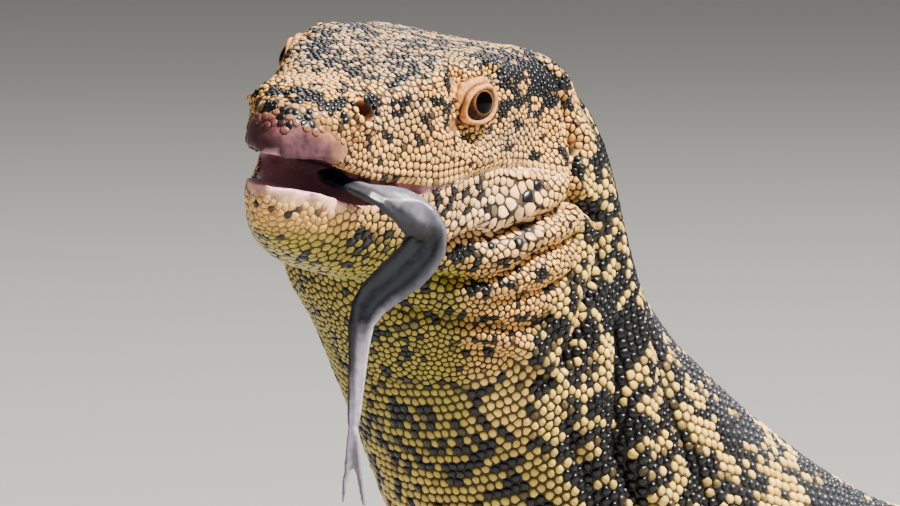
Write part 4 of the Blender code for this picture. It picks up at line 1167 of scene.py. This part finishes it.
class Coat:
    """The scales' places, directions, room, sizes and colours."""

    def __init__(self, scales):
        self.points = scales.points
        self.normals = unit(scales.normals)
        where = Where(self.points)
        flow = flow_at(where)
        self.first = unit(flow - self.normals * (flow * self.normals).sum(1)[:, None])
        self.second = np.cross(self.normals, self.first)
        away = self.points[scales.near(11)] - self.points[:, None]
        self.x = (away * self.first[:, None]).sum(2)
        self.y = (away * self.second[:, None]).sum(2)
        self.far = (away ** 2).sum(2)
        self.width, self.length = scale_size(where)
        chance = rng.random(len(self.points)) - 0.5
        melting = faint(where)
        self.tall = skin_depth(where) * (TALL[0] + TALL[1] * chance) * (1 - MELTED * melting)
        self.colours = markings(where, self.normals, chance)
        # strength of the painted shade at each scale's foot and edge, weak where the scales melt
        # together
        self.dirt_and_edge_shade = 1 - 0.8 * melting
        on_head = where.skull > 0.5
        on_neck = (where.place < NECK_ENDS) & (where.limb < 0.5) & ~on_head
        self.kinds = ((PLATE, on_head), (BEAD, on_neck), (LOW_BEAD, ~on_head & ~on_neck))
        self.order = np.argsort(where.run + where.limb * (2.0 + where.leg + where.limb_run / 9))
        self.angle = where.angle

    def reach(self, pick, cosine, sine, corner):
        """How far each scale reaches every way before it meets its neighbours."""
        toward = self.x[pick][:, :, None] * cosine + self.y[pick][:, :, None] * sine
        meet = np.where(toward > 1e-6, self.far[pick][:, :, None] / np.maximum(toward, 1e-6) / 2,
                        1.0).min(1)
        half = 0.5 / np.hypot(cosine / self.length[pick][:, None],
                              sine / self.width[pick][:, None])
        return np.clip(np.minimum(meet, half * corner) - GAP / 2, SMALLEST * half, None)

    def domes(self, pick, kind, centres):
        """Places, faces, colours and baking patches of some of the scales."""
        rings, sides, corner = kind
        turn = 2 * math.pi * (np.arange(sides) + 0.5) / sides
        cosine, sine = np.cos(turn), np.sin(turn)
        reach = self.reach(pick, cosine, sine, corner)
        sharp = step(*DARK_CORNERS, reach / reach.mean(1)[:, None])
        first, second = self.first[pick][:, None], self.second[pick][:, None]
        rise = self.normals[pick][:, None] * self.tall[pick][:, None, None]
        points, shades, patches = [], [], []
        for level, (out, high, unshaded) in enumerate(rings):
            # the last ring is a single point
            some = slice(0, sides if out else 1)
            spread = (reach * out)[:, some]
            points.append(self.points[pick][:, None] + rise * high
                          + first * (spread * cosine[some])[:, :, None]
                          + second * (spread * sine[some])[:, :, None])
            # painted shade: each ring darker towards the foot, and a plate's corners darker
            # still
            shades.append(unshaded * (1 - 0.7 * sharp[:, some] * (level == 1 and kind is PLATE)))
            ring = np.stack([cosine, sine], 1)[some] * out * BAKE_PATCH / 2
            patches.append(centres[:, None] + ring[None])
        points, shades, patches = (np.concatenate(made, 1) for made in (points, shades, patches))
        shades = 1 - (1 - shades) * self.dirt_and_edge_shade[pick][:, None]
        colours = self.colours[pick][:, None] * shades[:, :, None]
        faces = []
        for i in range(sides):
            j = (i + 1) % sides
            for level in range(len(rings) - 2):
                a, b = level * sides + i, level * sides + j
                faces += [(a, b, b + sides), (a, b + sides, a + sides)]
            last = (len(rings) - 2) * sides
            faces.append((last + i, last + j, last + sides))
        faces = np.array(faces)[None] + (np.arange(len(pick)) * points.shape[1])[:, None, None]
        return [made.reshape(-1, made.shape[-1]) for made in (points, faces, colours, patches)]

    def piece(self, number, finish):
        """One share of the coat: every so-many-th scale all along the body."""
        mine = self.order[number::COAT_PIECES]
        side = int(math.ceil(math.sqrt(len(mine))))
        row = np.arange(len(mine)) // side
        column = np.empty(len(mine), int)
        column[np.lexsort((self.angle[mine], row))] = np.arange(len(mine)) % side
        centres = (np.stack([column, row], 1) + 0.5) / side
        blocks = [self.domes(mine[members[mine]], kind, centres[members[mine]])
                  for kind, members in self.kinds]
        count = 0
        for block in blocks:
            block[1] = block[1] + count
            count += len(block[0])
        points, faces, colours, patches = (np.concatenate(made) for made in zip(*blocks))
        piece = mesh_piece("scales_%d" % (number + 1), points, faces)
        piece.data.uv_layers.new(name="OFBake").data.foreach_set(
            "uv", patches[faces.ravel()].ravel())
        paint(piece, colours)
        fitted(piece, finish, "hide")


def mesh_piece(name, points, faces):
    """A smooth-shaded piece from places and triangles."""
    mesh = bpy.data.meshes.new(name)
    mesh.vertices.add(len(points))
    mesh.vertices.foreach_set("co", np.ascontiguousarray(points).ravel())
    mesh.loops.add(faces.size)
    mesh.loops.foreach_set("vertex_index", np.ascontiguousarray(faces).ravel())
    mesh.polygons.add(len(faces))
    mesh.polygons.foreach_set("loop_start", np.arange(len(faces)) * 3)
    mesh.polygons.foreach_set("loop_total", np.full(len(faces), 3))
    mesh.update(calc_edges=True)
    mesh.shade_smooth()
    return placed(name, mesh)


coat = Coat(scales)
scale_finish = painted_finish("scales", 0.33, 900.0, 1400.0, 0.06 * MM, glint=0.30)
for number in range(COAT_PIECES):
    coat.piece(number, scale_finish)

# ==== The eyes =============================================================================
# Two glass eyes, each one ball with a clear bulge over a round pupil and a dark brown iris.
# They are blown and painted from behind, and set in the skull before the skin goes on.

PUPIL = math.radians(21.0)  # half angles at the middle of the eyeball
IRIS = math.radians(52.0)
AMBER = tone(128, 88, 46)
BROWN = tone(44, 25, 15)
RIM = tone(20, 11, 9)
EYE_SIDES = 72


def eyeball(name, hand):
    """A ball of rings round the line of sight; hand is 1 on the left and -1 on the right."""
    across = unit(np.cross(GAZE, UPRIGHT))
    upward = np.cross(across, GAZE)
    turned = np.concatenate((np.linspace(0, PUPIL, 8)[1:], [PUPIL * 1.06],
                             np.linspace(PUPIL * 1.2, IRIS, 14), [IRIS * 1.06],
                             np.linspace(IRIS * 1.2, math.pi, 24)[:-1]))
    around = 2 * math.pi * np.arange(EYE_SIDES) / EYE_SIDES
    spin = np.cos(around)[:, None] * across + np.sin(around)[:, None] * upward
    out = np.cos(turned)[:, None, None] * GAZE + np.sin(turned)[:, None, None] * spin
    out = np.concatenate((out.reshape(-1, 3), [GAZE], [-GAZE]))
    front, rear = len(out) - 2, len(out) - 1
    faces = []
    for i in range(EYE_SIDES):
        j = (i + 1) % EYE_SIDES
        for ring in range(len(turned) - 1):
            a, b = ring * EYE_SIDES + i, ring * EYE_SIDES + j
            faces += [(a, a + EYE_SIDES, b + EYE_SIDES), (a, b + EYE_SIDES, b)]
        last = front - EYE_SIDES
        faces += [(front, i, j), (rear, last + j, last + i)]
    places = (EYE + out * eyeball_radius(out)[:, None]) * (1, hand, 1)
    ball = mesh_piece(name, from_head(places), np.array(faces)[:, ::hand])
    angle = np.arccos(np.clip(out @ GAZE, -1, 1))
    streaks = np.array([noise.noise((14 * x, 14 * y, 14 * z)) for x, y, z in
                        unit(out - (out @ GAZE)[:, None] * GAZE * 0.96).tolist()])
    ring = mixed(AMBER, BROWN, step(PUPIL, PUPIL * 1.32, angle) + 0.4 * streaks)
    ring = mixed(ring, RIM, step(IRIS * 0.82, IRIS, angle))
    paint(ball, mixed(ring, np.zeros(3), step(PUPIL * 1.07, PUPIL, angle)))
    fitted(ball, eye_finish, "eye", name.replace("ball", ""))


eye_finish = painted_finish("eye", 0.09, 1500.0, 800.0, 0.005 * MM, glint=0.05)
eyeball("eyeball_left", 1)
eyeball("eyeball_right", -1)

# ==== The tongue ===========================================================================
# Smooth wet flesh, cast in one piece of soft resin: it lies flat over the lip, hangs with its
# broad side outwards and hollow, and ends in two thin points.

# Ahead of, left of and above the eyes' middle, half width, half thickness
TONGUE_ROUTE = (
    (22.0, 0.5, -19.4, 3.6, 1.5), (31.5, 6.5, -19.0, 4.1, 1.6), (37.6, 14.3, -18.6, 4.4, 1.5),
    (36.6, 20.6, -19.3, 4.7, 1.8), (33.4, 25.6, -21.6, 4.8, 2.0), (31.6, 29.1, -24.9, 4.8, 2.0),
    (31.8, 30.1, -29.0, 5.0, 2.0), (34.1, 27.0, -35.2, 5.2, 1.9), (37.1, 22.2, -41.8, 4.4, 1.7),
    (38.7, 20.9, -48.1, 3.1, 1.5), (39.5, 22.0, -55.8, 2.4, 1.3), (40.4, 23.4, -64.6, 1.9, 1.1),
    (41.0, 24.3, -70.4, 1.7, 1.0), (41.9, 26.5, -88.5, 3.0, 1.0),
)
TONGUE_FACING = np.array((0.92, 0.39, 0.0))  # the hanging tongue's broad side
TONGUE_TURNS = (2.0, 5.0)  # rows between which it turns that way
TONGUE_VOXEL = 0.36 * MM
TONGUE_HOLLOW = 0.62  # of its half thickness
LILAC = tone(92, 91, 103)
PALE_LILAC = tone(168, 160, 176)  # towards the fork
# dark blue standing for the painted shade of the tongue's hollow, its forward side and its far
# side
SHADE_BLUE = tone(14, 19, 27)
DUSK = tone(76, 75, 90)

middle_line = Line([tuple(from_head(row[:3])) + (row[3] * MM, row[4] * MM)
                    for row in TONGUE_ROUTE])
first_turn, last_turn = TONGUE_TURNS
turned = np.clip((middle_line.places - first_turn) / (last_turn - first_turn), 0, 1)[:, None]
broad = blend(UPRIGHT, TONGUE_FACING, turned) @ HEAD_AXES
middle_line.side = unit(np.cross(middle_line.along, broad))
middle_line.up = np.cross(middle_line.side, middle_line.along)

tongue = grown("soft_tongue", ["tongue"], 0.0, TONGUE_VOXEL)
soften(tongue, np.ones(len(tongue.data.vertices)), 14, -0.52)
points = places_of(tongue)
nearest, past, share, angle = middle_line.find(points)
row = middle_line.places[nearest]
out = share * np.cos(angle)
facing = step(-0.1, 0.4, share * np.sin(angle))
hollow = step(0.92, 0.25, np.abs(out)) * facing * step(4.4, 5.8, row)
sunk = hollow * (1 - 0.45 * step(8.0, 10.0, row)) * TONGUE_HOLLOW * middle_line.tall[nearest]
move_to(tongue, points - middle_line.up[nearest] * sunk[:, None])
tongue.data.shade_smooth()
edge = step(0.2, 0.6, out) * step(4.4, 5.8, row)
tint = mixed(LILAC, PALE_LILAC, step(7.0, 9.5, row))
# painted shade: the hollow, the forward side turned from the lamp and the far side are darkened;
# the darker fork points are their own tone
for other, share in (
        (DUSK, step(0.2, 0.9, out) * 0.9 + 0.15 * grain(points, 3.0)),
        (SHADE_BLUE, 1.1 * np.maximum(np.sqrt(hollow), edge) * step(10.6, 8.4, row)),
        (SHADE_BLUE, 0.9 * step(-0.1, 0.45, out) * step(12.2, 9.8, row)),
        (SHADE_BLUE, 0.8 * (1 - facing) * step(3.0, 5.0, row)),
        (DUSK, 0.6 * step(11.8, 12.8, row))):
    tint = mixed(tint, other, share)
paint(tongue, tint)
tongue_finish = painted_finish("tongue", 0.42, 700.0, 900.0, 0.03 * MM, wet=0.04, glint=0.35)
fitted(tongue, tongue_finish, "tongue", "tongue")

# ==== The claws ============================================================================
# Twenty curved claws of dark horn with browner points, cast solid, polished and pressed into
# the ends of the toes.

HORN = tone(58, 50, 44)
HORN_POINT = tone(128, 104, 78)
claw_names = sorted(name for name in nodes if name.startswith("claw_"))
claws = merged_copy("claws", claw_names)
rounder = claws.modifiers.new("rounder", "SUBSURF")
rounder.levels = 2
rounder.render_levels = 2
settled(claws)
claws.data.shade_smooth()
points = places_of(claws)
paint(claws, mixed(HORN, HORN_POINT,
                   step(7.0, 1.0, points[:, 2] / MM) + 0.4 * grain(points, 2.0)))
fitted(claws, painted_finish("horn", 0.30, 600.0, 1500.0, 0.03 * MM), "claw", *claw_names)

# ==== Floor, light and camera ==============================================================
# A pale painted studio floor and a faint grey surround, lit by one small warm lamp high on
# the left, a broad weak one opposite and one behind.  The camera stands level with the head,
# before its left side.

FLOOR_SIZE = 12.0
floor_mesh = bpy.data.meshes.new("floor")
shape = bmesh.new()
bmesh.ops.create_grid(shape, x_segments=1, y_segments=1, size=FLOOR_SIZE)
shape.to_mesh(floor_mesh)
shape.free()
floor = placed("floor", floor_mesh)
pale = bpy.data.materials.new("pale floor")
pale.use_nodes = True
paint_on_floor = pale.node_tree.nodes["Principled BSDF"].inputs
paint_on_floor["Base Color"].default_value = (0.37, 0.37, 0.36, 1)
paint_on_floor["Roughness"].default_value = 0.8
floor.data.materials.append(pale)

world = bpy.data.worlds.new("studio")
bpy.context.scene.world = world
world.use_nodes = True
surround = world.node_tree.nodes["Background"].inputs
surround["Color"].default_value = (0.86, 0.90, 0.95, 1)
surround["Strength"].default_value = 0.12

FACE = tuple(BETWEEN_EYES)
TRUNK = (0, 0, 0.15)
for name, place, target, size, watts, colour in (
        ("key", (0.11, -1.95, 3.42), FACE, 0.34, 900.0, (1.0, 0.94, 0.86)),
        ("fill", (-3.2, 1.2, 1.3), FACE, 2.2, 4.0, (0.90, 0.95, 1.0)),
        ("back", (2.0, 2.0, 2.4), TRUNK, 1.6, 40.0, (1.0, 1.0, 1.0))):
    data = bpy.data.lights.new(name, "AREA")
    data.shape = "DISK"
    data.size = size
    data.energy = watts
    data.color = colour
    lamp = placed(name, data)
    lamp.location = place
    lamp.rotation_euler = (Vector(target) - Vector(place)).to_track_quat("-Z", "Y").to_euler()

VIEW_TURN = math.radians(-50.0)
VIEW_HEIGHT = math.radians(4.4)
VIEW_DISTANCE = 2.5
VIEW_WIDTH = 0.2032  # width of the frame at the face
VIEW_SHIFT = (0.01512, -0.03815)  # of the frame's middle from the face, right and up
SENSOR = 36.0
FAR_END = 50.0
back = Vector((math.sin(VIEW_TURN) * math.cos(VIEW_HEIGHT),
               -math.cos(VIEW_TURN) * math.cos(VIEW_HEIGHT), math.sin(VIEW_HEIGHT)))
right = Vector((math.cos(VIEW_TURN), math.sin(VIEW_TURN), 0.0))
up = back.cross(right)
aim = Vector(FACE) + right * VIEW_SHIFT[0] + up * VIEW_SHIFT[1]
camera_data = bpy.data.cameras.new("camera")
camera_data.sensor_width = SENSOR
camera_data.lens = SENSOR * VIEW_DISTANCE / VIEW_WIDTH
camera_data.clip_end = FAR_END
camera = placed("camera", camera_data)
camera.matrix_world = (Matrix.Translation(aim + back * VIEW_DISTANCE)
                       @ Matrix((right, up, back)).transposed().to_4x4())
bpy.context.scene.camera = camera
